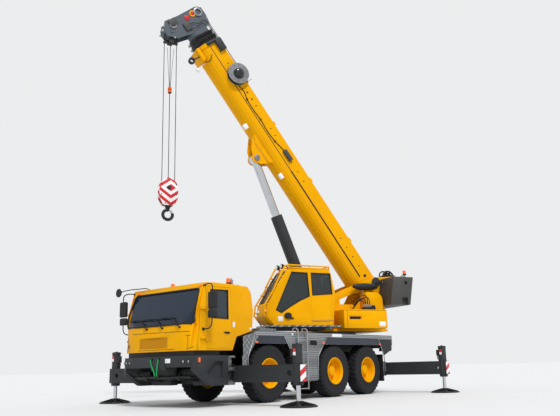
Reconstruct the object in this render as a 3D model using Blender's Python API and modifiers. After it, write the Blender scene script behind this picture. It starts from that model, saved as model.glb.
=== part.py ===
# Three-axle all-terrain crane standing on its outriggers, superstructure slewed and boom raised as parked.
# Metres, +Z up, +X towards the carrier's cab, +Y to its left. Lengths of the carrier are measured from
# axle 2 on the ground; the superstructure has its own frame on the slewing axis, the boom one on its pivot.
import math

import bmesh
import bpy
from mathutils import Matrix, Vector

# Whole machine
SHIFT_X = -0.54          # puts the middle of the machine's length over the origin
SEAT = 0.0003            # gap between pieces that touch
RUN = 0.006              # gap round a moving piece
FIT = 0.0005             # gap of a rod in its gland or a pin in its bore

# Wheels and axles
AXLE_X = (2.725, 0.0, -1.65)
WHEEL_R = 0.685
TYRE_W = 0.39
TYRE_FACE_Y = 1.25       # outer side of the tyres
RIM_R = 0.356
KINGPIN_Y = 0.74
KINGPIN_R = 0.055
SPINDLE_R = 0.07
AXLE_H = 0.20
AXLE_W = 0.17

# Chassis and deck
FRAME_Y = 0.38
FRAME_LOW = 0.86
FRAME_WALL = 0.02
FRAME_REAR = -3.30
DECK_TOP = 1.68
DECK_T = 0.11
DECK_FRONT = 3.20
DECK_REAR = -3.04
BODY_Y = 1.27            # outer side of deck, skirts and bumper
SKIRT_T = 0.012
SKIRT_LOW = 0.46
GUARD_LOW = 1.385        # lower edge of the mudguard panels over the tyres

# Outriggers
LEG_Y = 2.98
BEAM_TIP_Y = 3.12
BEAM_LENGTH = 2.36
BEAM_STROKE = 1.85
BEAM_W = 0.20
BEAM_LOW = 0.51
BEAM_H = 0.37
BOX_WALL = 0.025
BOX_Y = 1.00
OUTRIGGER_X = {"front_left": 3.85, "front_right": 4.09, "rear_left": -2.92, "rear_right": -2.68}
JACK_R = 0.11
JACK_LOW = 0.44
JACK_TOP = 1.30
LEG_R = 0.048
PAD_R = 0.40
PAD_H = 0.07

# Front body and carrier cab
BUMPER_REAR = 4.23
BUMPER_FRONT = 5.26
BUMPER_TOP = 1.11
CAB_Y = 1.25
CAB_LOW = 1.22
CAB_TOP = 2.71
CAB_WALL = 0.05
GLASS_T = 0.008

# Slewing ring and superstructure, measured from the slewing axis
SLEW_X = -1.59
SLEW_DEG = -25.65
RING_R = 0.76
BASE_LOW = 1.80
BASE_T = 0.06
PLATE_Y = 0.43           # inner side of the turntable's side plates
PLATE_T = 0.05
CABINET_Y = 1.22

# Boom, measured along it and square to it from its pivot
PIVOT_S = -1.40
PIVOT_Z = 3.33
BOOM_DEG = 54.6
BOOM_TOP = 0.17
BOOM_HALF = 0.34
BOOM_BELLY = -0.33       # height at which the side turns into the round belly
BOOM_REAR = -0.25
BOOM_FRONT = 9.05
BOOM_WALL = 0.012
SECTION_STEP = 0.03      # each inner section is this much smaller all round
SECTION_OUT = 0.16       # how far each inner section stands out of the one round it
PIVOT_R = 0.09

# Lift cylinder
PIN_U = 5.27
PIN_N = -0.95
FOOT_S = 0.55
FOOT_Z = 2.30
BARREL_R = 0.18
BARREL_LENGTH = 3.25
BORE_R = 0.15
ROD_R = 0.125
ROD_LENGTH = 2.90
EYE_R = 0.15
EYE_W = 0.26
PIN_R = 0.06

# Hook and rope
ROPE_R = 0.011
FALL_S = 0.19            # distance of the outer falls from the middle one
BLOCK_TOP = 6.20
HOOK_LOW = 4.93
HEAD_U = 9.86            # lower head sheaves
HEAD_N = -1.02
SHEAVE_PIN_R = 0.05

COLOURS = {
    "crane_yellow": ((0.91, 0.43, 0.0), 0.35, 0.0),
    "dark_grey_paint": ((0.055, 0.06, 0.068), 0.5, 0.0),
    "light_grey_paint": ((0.20, 0.21, 0.22), 0.5, 0.0),
    "aluminium_tread": ((0.45, 0.46, 0.47), 0.45, 0.9),
    "black_paint": ((0.015, 0.015, 0.017), 0.5, 0.0),
    "tyre_rubber": ((0.02, 0.02, 0.022), 0.85, 0.0),
    "chromed_steel": ((0.6, 0.6, 0.62), 0.15, 1.0),
    "steel": ((0.25, 0.25, 0.26), 0.45, 0.9),
    "tinted_glass": ((0.05, 0.06, 0.065), 0.08, 0.0),
    "interior_plastic": ((0.03, 0.03, 0.032), 0.7, 0.0),
}

for old in list(bpy.data.objects):
    bpy.data.objects.remove(old)

parts = bpy.data.collections.new("all_terrain_crane")
bpy.context.scene.collection.children.link(parts)


def material(name):
    found = bpy.data.materials.get(name)
    if found:
        return found
    colour, roughness, metallic = COLOURS[name]
    made = bpy.data.materials.new(name)
    made.use_nodes = True
    shader = made.node_tree.nodes["Principled BSDF"]
    shader.inputs["Base Color"].default_value = (*colour, 1.0)
    shader.inputs["Roughness"].default_value = roughness
    shader.inputs["Metallic"].default_value = metallic
    return made


def raw(mesh):
    made = bpy.data.objects.new("raw", mesh)
    bpy.context.scene.collection.objects.link(made)
    return made


def fromBmesh(bm):
    mesh = bpy.data.meshes.new("raw")
    bm.to_mesh(mesh)
    bm.free()
    return raw(mesh)


def box(low, high):
    bm = bmesh.new()
    size = [h - l for l, h in zip(low, high)]
    middle = [(h + l) / 2 for l, h in zip(low, high)]
    bmesh.ops.create_cube(bm, size=1.0, matrix=Matrix.Translation(middle) @ Matrix.Diagonal((*size, 1.0)))
    return fromBmesh(bm)


def turn(axis):
    """Rotation that lays a shape made along Z along the named axis."""
    return {"z": Matrix.Identity(4), "x": Matrix.Rotation(math.pi / 2, 4, "Y"),
            "y": Matrix.Rotation(-math.pi / 2, 4, "X")}[axis]


def cylinder(radius, start, length, axis="z", sides=24, end_radius=None):
    bm = bmesh.new()
    shift = Matrix.Translation(start) @ turn(axis) @ Matrix.Translation((0, 0, length / 2))
    top = radius if end_radius is None else end_radius
    bmesh.ops.create_cone(bm, cap_ends=True, segments=sides, radius1=radius, radius2=top,
                          depth=length, matrix=shift)
    return fromBmesh(bm)


def bore(radius, sides):
    """Radius of a faceted hole in which a faceted pin of this radius still turns."""
    return radius / math.cos(math.pi / sides) + SEAT


def prism(outline, low, high, plane="xz"):
    """Flat outline given in the named plane, made as thick as low to high along the third axis."""
    place = {"xy": lambda a, b, c: (a, b, c), "xz": lambda a, b, c: (a, c, b), "yz": lambda a, b, c: (c, a, b)}[plane]
    bm = bmesh.new()
    near = [bm.verts.new(place(a, b, low)) for a, b in outline]
    far = [bm.verts.new(place(a, b, high)) for a, b in outline]
    bm.faces.new(near)
    bm.faces.new(reversed(far))
    for i in range(len(near)):
        bm.faces.new((near[i - 1], far[i - 1], far[i], near[i]))
    bmesh.ops.recalc_face_normals(bm, faces=bm.faces)
    return fromBmesh(bm)


def evaluated(holder, outward=True):
    """Mesh of a curve or of an object with modifiers, its doubles merged; the holder is removed."""
    bpy.context.view_layer.update()
    graph = bpy.context.evaluated_depsgraph_get()
    mesh = bpy.data.meshes.new_from_object(holder.evaluated_get(graph))
    mesh.transform(holder.matrix_world)
    bm = bmesh.new()
    bm.from_mesh(mesh)
    bmesh.ops.remove_doubles(bm, verts=bm.verts, dist=0.00005)
    if outward:
        bmesh.ops.recalc_face_normals(bm, faces=bm.faces)
    bm.to_mesh(mesh)
    bm.free()
    bpy.data.objects.remove(holder)
    return mesh


def turned(profile, centre, axis="y", sides=32):
    """Closed profile of (radius, height) points turned about the axis through centre."""
    mesh = bpy.data.meshes.new("profile")
    points = [(r, 0, h) for r, h in profile]
    edges = [(i, (i + 1) % len(points)) for i in range(len(points))]
    mesh.from_pydata(points, edges, [])
    holder = raw(mesh)
    screw = holder.modifiers.new("Screw", "SCREW")
    screw.steps = sides
    screw.render_steps = sides
    screw.use_merge_vertices = True
    screw.merge_threshold = 0.0001
    holder.matrix_world = Matrix.Translation(centre) @ turn(axis)
    return raw(evaluated(holder))


def tube(points, radius, sides=4):
    """Round bar along the points, its ends closed."""
    curve = bpy.data.curves.new("bar", "CURVE")
    curve.dimensions = "3D"
    curve.bevel_depth = radius
    curve.bevel_resolution = sides
    curve.use_fill_caps = True
    spline = curve.splines.new("POLY")
    spline.points.add(len(points) - 1)
    for point, place in zip(spline.points, points):
        point.co = (*place, 1)
    return raw(evaluated(raw(curve)))


def boolean(base, others, operation):
    for other in others:
        step = base.modifiers.new("Boolean", "BOOLEAN")
        step.operation = operation
        step.solver = "EXACT"
        step.object = other
    mesh = evaluated(base, False)
    for other in others:
        bpy.data.objects.remove(other)
    return raw(mesh)


def fuse(base, *others):
    return boolean(base, others, "UNION")


def cut(base, *others):
    return boolean(base, others, "DIFFERENCE")


def common(base, other):
    return boolean(base, [other], "INTERSECT")


def mirrored(shape, keep=True):
    """Mirror image of a shape on the other side of the machine; the shape itself stays if keep is set."""
    mesh = shape.data.copy()
    mesh.transform(Matrix.Diagonal((1, -1, 1, 1)))
    mesh.flip_normals()
    if not keep:
        bpy.data.objects.remove(shape)
    return raw(mesh)


def copy(shape):
    return raw(shape.data.copy())


def finish(name, shape, frame, colour, origin=(0, 0, 0), smooth=True):
    """Names a shape, puts its origin and itself into the given frame, and gives it its paint."""
    mesh = shape.data
    mesh.transform(Matrix.Translation(-Vector(origin)))
    shape.name = name
    mesh.name = name
    bpy.context.scene.collection.objects.unlink(shape)
    parts.objects.link(shape)
    shape.matrix_world = frame @ Matrix.Translation(origin)
    mesh.materials.clear()
    mesh.materials.append(material(colour))
    if smooth:
        mesh.shade_smooth()
        mesh.set_sharp_from_angle(angle=math.radians(35))
    return shape


def arc(centre, radius, start, end, steps):
    """Points of an arc in a plane, from start to end degrees."""
    return [(centre[0] + radius * math.cos(math.radians(start + (end - start) * i / steps)),
             centre[1] + radius * math.sin(math.radians(start + (end - start) * i / steps)))
            for i in range(steps + 1)]


carrier = Matrix.Translation((SHIFT_X, 0, 0))
upper = carrier @ Matrix.Translation((SLEW_X, 0, 0)) @ Matrix.Rotation(math.radians(SLEW_DEG), 4, "Z")
boom = upper @ Matrix.Translation((PIVOT_S, 0, PIVOT_Z)) @ Matrix.Rotation(-math.radians(BOOM_DEG), 4, "Y")


def outriggerBox(lowX, highX):
    """Cross box of two beams side by side, open at both ends for them."""
    low = BEAM_LOW - BOX_WALL - FIT
    return box((lowX - BEAM_W / 2 - RUN - BOX_WALL, -BOX_Y, low),
               (highX + BEAM_W / 2 + RUN + BOX_WALL, BOX_Y, BEAM_LOW + BEAM_H + RUN + BOX_WALL))


def beamBore(x):
    return box((x - BEAM_W / 2 - RUN, -BOX_Y - 0.1, BEAM_LOW - FIT),
               (x + BEAM_W / 2 + RUN, BOX_Y + 0.1, BEAM_LOW + BEAM_H + RUN))


def makeChassis():
    outline = [(FRAME_REAR, FRAME_LOW), (3.45, FRAME_LOW), (3.60, 0.60), (4.95, 0.60),
               (4.95, CAB_LOW - 0.04), (3.30, CAB_LOW - 0.04), (DECK_FRONT, DECK_TOP - DECK_T - SEAT),
               (FRAME_REAR, DECK_TOP - DECK_T - SEAT)]
    frame = prism(outline, -FRAME_Y, FRAME_Y)
    inner = [(FRAME_REAR + FRAME_WALL, FRAME_LOW + FRAME_WALL), (3.15, FRAME_LOW + FRAME_WALL),
             (3.15, DECK_TOP), (FRAME_REAR + FRAME_WALL, DECK_TOP)]
    frame = cut(frame, prism(inner, -FRAME_Y + FRAME_WALL, FRAME_Y - FRAME_WALL))
    bulkheads = [box((x, -FRAME_Y + 0.01, FRAME_LOW + 0.01), (x + 0.03, FRAME_Y - 0.01, 1.45))
                 for x in (2.2, -0.25, -2.6)]
    frame = fuse(frame, outriggerBox(OUTRIGGER_X["front_left"], OUTRIGGER_X["front_right"]),
                 outriggerBox(OUTRIGGER_X["rear_left"], OUTRIGGER_X["rear_right"]), *bulkheads)
    frame = cut(frame, *[beamBore(x) for x in OUTRIGGER_X.values()])
    # Brackets that carry the axles' springs and the bumper's rear corners
    hangers = [box((x - 0.06, side * 0.30 - 0.05, AXLE_H / 2 + WHEEL_R + SEAT),
                   (x + 0.06, side * 0.30 + 0.05, FRAME_LOW + 0.01))
               for x in AXLE_X for side in (-1, 1)]
    frame = fuse(frame, *hangers)
    finish("chassis_frame", frame, carrier, "dark_grey_paint")


def sideSkirt():
    """Outer side of the deck on one side, one sheet with its wheel arches."""
    y = BODY_Y - SKIRT_T
    outline = [(-3.04, DECK_TOP - 0.008), (-3.04, 1.40), (-2.56, 1.10), (-2.50, 1.10), (-2.337, GUARD_LOW), (0.58, GUARD_LOW),
               (0.80, 1.10), (0.86, SKIRT_LOW), (1.78, SKIRT_LOW), (1.80, 1.05), (2.03, GUARD_LOW), (3.29, GUARD_LOW),
               (3.56, 1.05), (3.70, 1.05), (3.70, 1.54), (3.36, 1.63), (3.29, DECK_TOP - 0.008)]
    return cut(prism(outline, y, BODY_Y), box((0.83, y - 0.1, 1.33), (1.21, y + 0.1, 1.43)))


def makeDeck():
    deckY = BODY_Y - 0.003
    deck = box((DECK_REAR - 0.004, -deckY, DECK_TOP - DECK_T), (DECK_FRONT, deckY, DECK_TOP))
    left = sideSkirt()
    right = mirrored(left)
    # Inner braces hold the skirt sheets against the chassis
    braces = [box((x, -BODY_Y + 0.002, z), (x + 0.02, -FRAME_Y - SEAT, DECK_TOP - DECK_T + 0.01))
              for x, z in ((1.70, 0.9), (1.00, 0.9), (-2.50, 1.30))]
    braces += [mirrored(brace) for brace in braces]
    floor = box((3.10, -deckY - 0.001, DECK_TOP - 0.03), (3.28, deckY + 0.001, DECK_TOP - 0.002))
    deck = fuse(deck, left, right, *braces, floor)
    finish("deck", deck, carrier, "aluminium_tread", smooth=False)


def makeBumper():
    side = [(BUMPER_REAR, SKIRT_LOW), (4.72, SKIRT_LOW), (BUMPER_FRONT, 0.90),
            (BUMPER_FRONT, BUMPER_TOP), (BUMPER_REAR, BUMPER_TOP)]
    plan = [(BUMPER_REAR, -BODY_Y), (4.98, -BODY_Y), (5.14, -1.12), (5.24, -0.75), (5.27, 0),
            (5.24, 0.75), (5.14, 1.12), (4.98, BODY_Y), (BUMPER_REAR, BODY_Y)]
    body = common(prism(side, -BODY_Y, BODY_Y), prism(plan, SKIRT_LOW - 0.1, BUMPER_TOP + 0.1, "xy"))
    keel = box((4.0, -FRAME_Y - SEAT, 0.3), (4.95 + SEAT, FRAME_Y + SEAT, 1.3))
    body = cut(body, keel)
    # Ladder of two steps behind the left front corner, ahead of the outrigger beam
    steps = box((3.975, 1.12, SKIRT_LOW), (BUMPER_REAR + 0.02, BODY_Y, BUMPER_TOP - 0.01))
    treads = [box((3.93, 1.15, z), (4.20, 1.40, z + 0.22)) for z in (0.55, 0.84)]
    body = fuse(body, cut(steps, *treads))
    recess = prism([(4.36, 0.98), (4.62, 0.98), (4.86, 0.74), (4.62, 0.62), (4.36, 0.62)], 1.20, 1.30)
    body = cut(body, recess, mirrored(recess))
    finish("front_bumper", body, carrier, "dark_grey_paint")


def cabSolid(inset):
    """Outer form of the carrier cab, drawn in by inset all round."""
    i = inset
    side = [(4.04 + i, CAB_LOW + i), (5.26 - i, CAB_LOW + i), (5.265 - i, 1.60), (5.09 - i, 2.64 - i * 0.6),
            (5.00 - i, CAB_TOP - i), (3.52 + i, CAB_TOP - i), (3.40 + i, 2.58), (3.32 + i, 2.15),
            (3.37 + i, 1.67 + i), (3.90 + i * 0.7, 1.53 + i)]
    corner = [(4.90, CAB_Y - i), (5.06 - i, 1.20 - i), (5.18 - i, 1.06 - i * 0.7), (5.24 - i, 0.80),
              (5.27 - i, 0.0)]
    plan = [(3.0, CAB_Y - i)] + corner
    plan += [(x, -y) for x, y in reversed(plan[:-1])]
    return common(prism(side, -CAB_Y - 0.1, CAB_Y + 0.1), prism(plan, 1.0, 3.0, "xy"))


def doorOutline(grow):
    g = grow
    return [(4.05 - g, 1.245 - g), (4.86 + g, 1.245 - g), (4.87 + g, 1.70), (4.80 + g, 2.62 + g),
            (4.10 - g, 2.64 + g)]


WINDOW = [(4.18, 1.93), (4.80, 1.94), (4.73, 2.55), (4.19, 2.57)]
SCREEN = [(-1.16, 1.80), (1.16, 1.80), (1.08, 2.58), (-1.08, 2.58)]
HINGE_X = 4.893
HINGE_Y = CAB_Y + 0.021
HINGE_Z = (1.42, 2.06)


def jackNotch(side, grow=0.0):
    """Room in the cab's lower rear corner for the right jack when its beam is in."""
    x = OUTRIGGER_X["front_right"]
    gap = JACK_R + 0.03 + grow
    inner = LEG_Y - BEAM_STROKE - gap
    ends = sorted((side * inner, side * 1.40))
    return box((x - 0.2, ends[0], 1.0), (x + gap, ends[1], JACK_TOP + 0.04 + grow))


def hingeBarrels(low, lugX, gapped):
    """Two hinge barrels on the door's axis; the door has the lower halves, the pillar the upper ones."""
    pieces = []
    for z in HINGE_Z:
        start = z if low else z + 0.05 + FIT
        pieces.append(cylinder(0.013, (HINGE_X, HINGE_Y, start), 0.05, sides=12))
        lug = sorted((lugX, HINGE_X))
        inner = CAB_Y - (0.01 if not gapped else -RUN)
        pieces.append(box((lug[0], inner, start + 0.004), (lug[1], HINGE_Y + 0.006, start + 0.046)))
        if gapped:
            pieces.append(box((lug[0], CAB_Y - 0.02, start + 0.004),
                              (lug[0] + 0.03, HINGE_Y + 0.006, start + 0.046)))
    return pieces


def makeCab():
    shell = cut(cabSolid(0.0), cabSolid(CAB_WALL))
    leftCut = prism(doorOutline(0.0), 1.12, 1.40)
    rightCut = mirrored(leftCut)
    panel = common(copy(shell), prism(doorOutline(-RUN), 1.15, 1.40))
    panel = cut(panel, prism(WINDOW, 1.1, 1.4))
    rightPanel = mirrored(panel)
    shell = cut(shell, leftCut, rightCut, prism(SCREEN, 4.85, 5.6, "yz"), jackNotch(-1))
    pillar = hingeBarrels(False, HINGE_X + 0.02, False)
    shell = fuse(shell, *pillar, *[mirrored(p, False) for p in hingeBarrels(False, HINGE_X + 0.02, False)])
    mount = [box((4.30, y - 0.06, CAB_LOW - 0.04 + SEAT), (4.80, y + 0.06, CAB_LOW + 0.01)) for y in (-0.3, 0.3)]
    shell = fuse(shell, *mount)
    finish("carrier_cab_shell", shell, carrier, "crane_yellow")
    left = fuse(panel, *hingeBarrels(True, HINGE_X - 0.09, True))
    right = fuse(rightPanel, *[mirrored(p, False) for p in hingeBarrels(True, HINGE_X - 0.09, True)])
    right = cut(right, jackNotch(-1, RUN))
    finish("carrier_cab_door_left", left, carrier, "crane_yellow", (HINGE_X, HINGE_Y, 0))
    finish("carrier_cab_door_right", right, carrier, "crane_yellow", (HINGE_X, -HINGE_Y, 0))
    glass = cut(cabSolid(0.012), cabSolid(0.012 + GLASS_T))
    fit = [(y - math.copysign(SEAT, y), z + (SEAT if z < 2 else -SEAT)) for y, z in SCREEN]
    finish("carrier_cab_windscreen", common(glass, prism(fit, 4.98, 5.6, "yz")), carrier, "tinted_glass")


def makeCabInterior():
    floor = CAB_LOW + CAB_WALL + SEAT
    base = box((4.12, -1.05, floor), (4.85, 1.05, floor + 0.04))
    pieces = []
    for y in (-0.62, 0.62):
        pieces += [box((4.18, y - 0.2, floor + 0.03), (4.55, y + 0.2, floor + 0.30)),
                   box((4.14, y - 0.26, floor + 0.28), (4.66, y + 0.26, floor + 0.42)),
                   prism([(4.14, floor + 0.40), (4.26, floor + 0.40), (4.14, floor + 1.05),
                          (4.04, floor + 1.05)], y - 0.24, y + 0.24)]
    pieces.append(box((4.83, -1.05, floor), (4.98, 1.05, floor + 0.62)))
    pieces.append(tube([(4.90, 0.62, floor + 0.50), (4.76, 0.62, floor + 0.66)], 0.03))
    wheel = turned(arc((0.20, 0), 0.016, 0, 315, 7), (4.755, 0.62, floor + 0.665), "z", 16)
    spoke = box((4.745, 0.43, floor + 0.655), (4.765, 0.81, floor + 0.675))
    pieces += [wheel, spoke]
    cabin = cut(fuse(base, *pieces), jackNotch(-1, CAB_WALL + RUN))
    finish("carrier_cab_interior", cabin, carrier, "interior_plastic")


def makeEngine():
    low = FRAME_LOW + FRAME_WALL + SEAT
    block = box((0.80, -0.31, low), (1.90, 0.31, low + 0.60))
    finish("engine_block", block, carrier, "steel")


def makeAxle(number, x):
    z = WHEEL_R
    beam = box((x - AXLE_W / 2, -0.60, z - AXLE_H / 2), (x + AXLE_W / 2, 0.60, z + AXLE_H / 2))
    pieces = [cylinder(0.17, (x, -0.16, z), 0.32, "y", 14)]
    for side in (-1, 1):
        y = side * KINGPIN_Y
        fork = [(side * a, z + b) for a, b in ((0.56, -0.168), (KINGPIN_Y, -0.168), (KINGPIN_Y, -0.093), (0.62, -0.093),
                                               (0.62, 0.093), (KINGPIN_Y, 0.093), (KINGPIN_Y, 0.168), (0.56, 0.168))]
        pieces.append(prism(fork, x - 0.07, x + 0.07, "yz"))
        for low in (-0.175, 0.09):
            pieces.append(cylinder(0.095, (x, y, z + low), 0.085, sides=12))
    beam = fuse(beam, *pieces)
    beam = cut(beam, *[cylinder(bore(KINGPIN_R, 12), (x, side * KINGPIN_Y, z - 0.3), 0.6, sides=12)
                       for side in (-1, 1)])
    finish(f"axle_{number}", beam, carrier, "dark_grey_paint")


def makeKnuckle(name, x, side):
    z = WHEEL_R
    y = side * KINGPIN_Y
    body = cylinder(KINGPIN_R, (x, y, z - 0.18), 0.36, sides=12)
    gap = 0.09 - FIT
    lug = cylinder(0.085, (x, y, z - gap), 2 * gap, sides=12)
    flangeY = side * 0.875
    arm = box((x - 0.06, min(y, flangeY), z - 0.07), (x + 0.06, max(y, flangeY), z + 0.07))
    spindle = cylinder(SPINDLE_R, (x, min(y, side * 1.06), z), abs(1.06 - KINGPIN_Y), "y", 28)
    finish(name, fuse(body, lug, arm, spindle), carrier, "steel", (x, y, z))


def makeWheel(name, x, side):
    """Tyre on a deep rim whose disc stands behind the hub."""
    half = TYRE_W / 2
    r = WHEEL_R
    hub = bore(SPINDLE_R, 28)
    profile = [(RIM_R, half - 0.005), (0.60, half - 0.01), (r - 0.01, half - 0.045), (r, half - 0.11), (r, -half + 0.11),
               (r - 0.01, -half + 0.045), (0.60, -half + 0.01), (RIM_R, -half + 0.005), (RIM_R - 0.04, -half + 0.05),
               (RIM_R - 0.04, -0.06), (hub, -0.06), (hub, 0.05), (0.13, 0.05),
               (0.15, -0.02), (RIM_R - 0.06, -0.02), (RIM_R - 0.05, half - 0.06)]
    y = side * (TYRE_FACE_Y - half)
    wheel = turned([(a, side * b) for a, b in profile], (x, y, WHEEL_R), "y", 28)
    finish(name, wheel, carrier, "tyre_rubber", (x, y, WHEEL_R))


def makeOutrigger(name, x):
    side = 1 if name.endswith("left") else -1
    tip = BEAM_TIP_Y
    beam = box((x - BEAM_W / 2, tip - BEAM_LENGTH, BEAM_LOW), (x + BEAM_W / 2, tip, BEAM_LOW + BEAM_H))
    jack = cylinder(JACK_R, (x, LEG_Y, JACK_LOW), JACK_TOP - JACK_LOW, sides=20)
    beam = fuse(beam, jack)
    legTop = JACK_TOP - 0.06
    barrel = cylinder(LEG_R + FIT, (x, LEG_Y, 0.3), legTop - 0.3, sides=20)
    sight = cylinder(0.06, (x - 0.2, 2.82, BEAM_LOW + BEAM_H / 2), 0.4, "x", 16)
    beam = cut(beam, barrel, sight)
    foot = turned([(0, 0), (PAD_R, 0), (PAD_R, 0.035), (0.12, PAD_H + 0.03), (0.075, 0.10), (0.075, 0.11),
                   (LEG_R, 0.12), (LEG_R, 0.86), (0, 0.86)], (x, LEG_Y, 0), "z", 20)
    if side < 0:
        beam = mirrored(beam, False)
        foot = mirrored(foot, False)
    finish(f"outrigger_beam_{name}", beam, carrier, "dark_grey_paint", (x, side * BEAM_TIP_Y, BEAM_LOW))
    finish(f"outrigger_leg_{name}", foot, carrier, "steel", (x, side * LEG_Y, 0))


def makeLadder():
    y = BODY_Y + 0.05
    rails = [tube([(x, y, 0.25), (x, y, DECK_TOP + 0.05), (x, y - 0.06, DECK_TOP + 0.10),
                   (x, y - 0.16, DECK_TOP + 0.10), (x, y - 0.16, DECK_TOP + SEAT)], 0.016, 1) for x in (1.32, 1.70)]
    rungs = [tube([(1.32, y, z), (1.70, y, z)], 0.014, 1) for z in (0.28, 0.58, 0.88, 1.18, 1.48)]
    finish("ladder", fuse(rails[0], rails[1], *rungs), carrier, "aluminium_tread")


def makeSlewRing():
    ring = cut(cylinder(RING_R, (SLEW_X, 0, DECK_TOP + SEAT), BASE_LOW - DECK_TOP - 2 * SEAT, sides=48),
               cylinder(RING_R - 0.14, (SLEW_X, 0, DECK_TOP - 0.1), 0.5, sides=48))
    finish("slew_ring", ring, carrier, "steel")


def makeTurntable():
    base = box((-1.55, -PLATE_Y - PLATE_T - 0.30, BASE_LOW), (0.85, PLATE_Y + PLATE_T + 0.30, BASE_LOW + BASE_T))
    side = [(-1.66, BASE_LOW + 0.01), (0.86, BASE_LOW + 0.01), (0.90, 2.40), (0.55, 2.66), (-0.13, 3.03),
            (-0.88, 3.32), (-1.33, 3.48), (-2.18, 3.53), (-2.24, 3.30), (-1.72, 3.08)]
    hole = [(-0.10, 2.62), (-0.71, 2.62), (-0.93, 2.98), (-0.60, 2.97), (-0.08, 2.76)]
    plates = []
    for face in (-1, 1):
        low = face * PLATE_Y if face > 0 else -PLATE_Y - PLATE_T
        plate = cut(prism(side, low, low + PLATE_T), prism(hole, low - 0.1, low + 0.2))
        plates.append(plate)
        bossLow = min(face * (BOOM_HALF + 0.06), face * (PLATE_Y + PLATE_T + 0.03))
        plates.append(cylinder(0.16, (PIVOT_S, bossLow, PIVOT_Z), PLATE_Y + PLATE_T + 0.03 - BOOM_HALF - 0.06, "y", 24))
        footLow = min(face * (BARREL_R + RUN), face * (PLATE_Y + 0.01))
        plates.append(cylinder(0.12, (FOOT_S, footLow, FOOT_Z), PLATE_Y + 0.01 - BARREL_R - RUN, "y", 20))
    cross = box((-1.60, -PLATE_Y - 0.01, BASE_LOW + 0.01), (-1.55, PLATE_Y + 0.01, 2.42))
    rearCross = box((-2.20, -PLATE_Y - 0.01, 3.34), (-2.12, PLATE_Y + 0.01, 3.50))
    bridge = box((-1.60, -0.60, BASE_LOW), (-1.50, 0.60, BASE_LOW + 0.3))
    table = fuse(base, *plates, cross, rearCross, bridge)
    # Channel that leaves room for the lift cylinder's foot between the plates
    pin = cylinder(PIVOT_R, (PIVOT_S, -PLATE_Y - PLATE_T, PIVOT_Z), 2 * (PLATE_Y + PLATE_T), "y", 24)
    finish("turntable", fuse(table, pin), upper, "crane_yellow")


def makeSuperstructure():
    inner = PLATE_Y + PLATE_T
    cabinet = box((-1.27, inner + SEAT, BASE_LOW + BASE_T + SEAT), (0.21, CABINET_Y, 2.41))
    slot = box((-0.38, CABINET_Y - 0.06, 2.12), (0.02, CABINET_Y + 0.1, 2.21))
    finish("side_cabinet_left", cut(cabinet, slot), upper, "crane_yellow")
    finish("side_cabinet_right", box((-1.27, -CABINET_Y, BASE_LOW + BASE_T + SEAT), (0.60, -inner - SEAT, 2.41)),
           upper, "crane_yellow")
    walkway = box((0.33, inner + SEAT, 1.90), (2.66, CABINET_Y + 0.02, 1.945))
    rail = box((0.40, inner + SEAT, BASE_LOW + BASE_T + SEAT), (0.84, 0.90, 1.905))
    finish("cab_walkway", fuse(walkway, rail), upper, "aluminium_tread")
    back = [(-1.585, 3.42), (-2.30, 3.42), (-2.14, 2.57), (-1.43, 2.57)]
    weight = prism(back, -CABINET_Y, CABINET_Y)
    room = box((-1.9, -inner - RUN, 2.4), (-1.2, inner + RUN, 3.6))
    hang = box((-2.35, -inner - SEAT, 2.9), (-1.85, inner + SEAT, 3.6))
    weight = cut(weight, room, hang)
    for face in (-1, 1):
        weight = cut(weight, cylinder(0.06, (-2.02, face * CABINET_Y - 0.1, 3.24), 0.2, "y", 16),
                     box((-2.06, face * CABINET_Y - 0.12, 2.5), (-1.85, face * CABINET_Y + 0.12, 2.79)))
    finish("counterweight", weight, upper, "light_grey_paint")
    drum = turned([(0, -0.38), (0.27, -0.38), (0.27, -0.36), (0.20, -0.36), (0.20, 0.36), (0.27, 0.36),
                   (0.27, 0.38), (0, 0.38)], (-0.62, 0, 2.26), "y", 20)
    cradle = box((-0.72, -0.33, BASE_LOW + BASE_T + SEAT), (-0.52, 0.33, 2.20))
    caps = [cylinder(0.09, (-0.62, y, 2.26), PLATE_Y - 0.37 - SEAT, "y", 20) for y in (-PLATE_Y + SEAT, 0.37)]
    finish("hoist_winch", fuse(drum, cradle, *caps), upper, "black_paint")


CRANE_CAB_INNER = 0.50
CRANE_CAB_FLOOR = 1.9453


def craneCabSolid(inset):
    i = inset
    side = [(0.57 + i, CRANE_CAB_FLOOR + i), (2.44 - i * 0.6, CRANE_CAB_FLOOR + i), (2.66 - i, 2.20),
            (2.62 - i, 2.50), (2.21 - i * 1.1, 3.20), (1.99 - i, 3.50 - i), (0.68 + i, 3.54 - i), (0.60 + i, 3.44 - i),
            (0.48 + i, 2.86)]
    return prism(side, CRANE_CAB_INNER + i, 1.23 - i)


CRANE_DOOR = [(0.70, 2.03), (1.26, 2.03), (1.26, 3.47), (0.72, 3.46), (0.60, 2.86)]
CRANE_REAR_WINDOW = [(1.21, 2.80), (1.225, 3.42), (0.76, 3.42), (0.65, 2.85)]
CRANE_SIDE_WINDOW = [(1.86, 3.44), (1.36, 3.43), (1.31, 2.75), (1.62, 2.62), (1.94, 2.44), (2.21, 2.27), (2.38, 2.35)]


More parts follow.
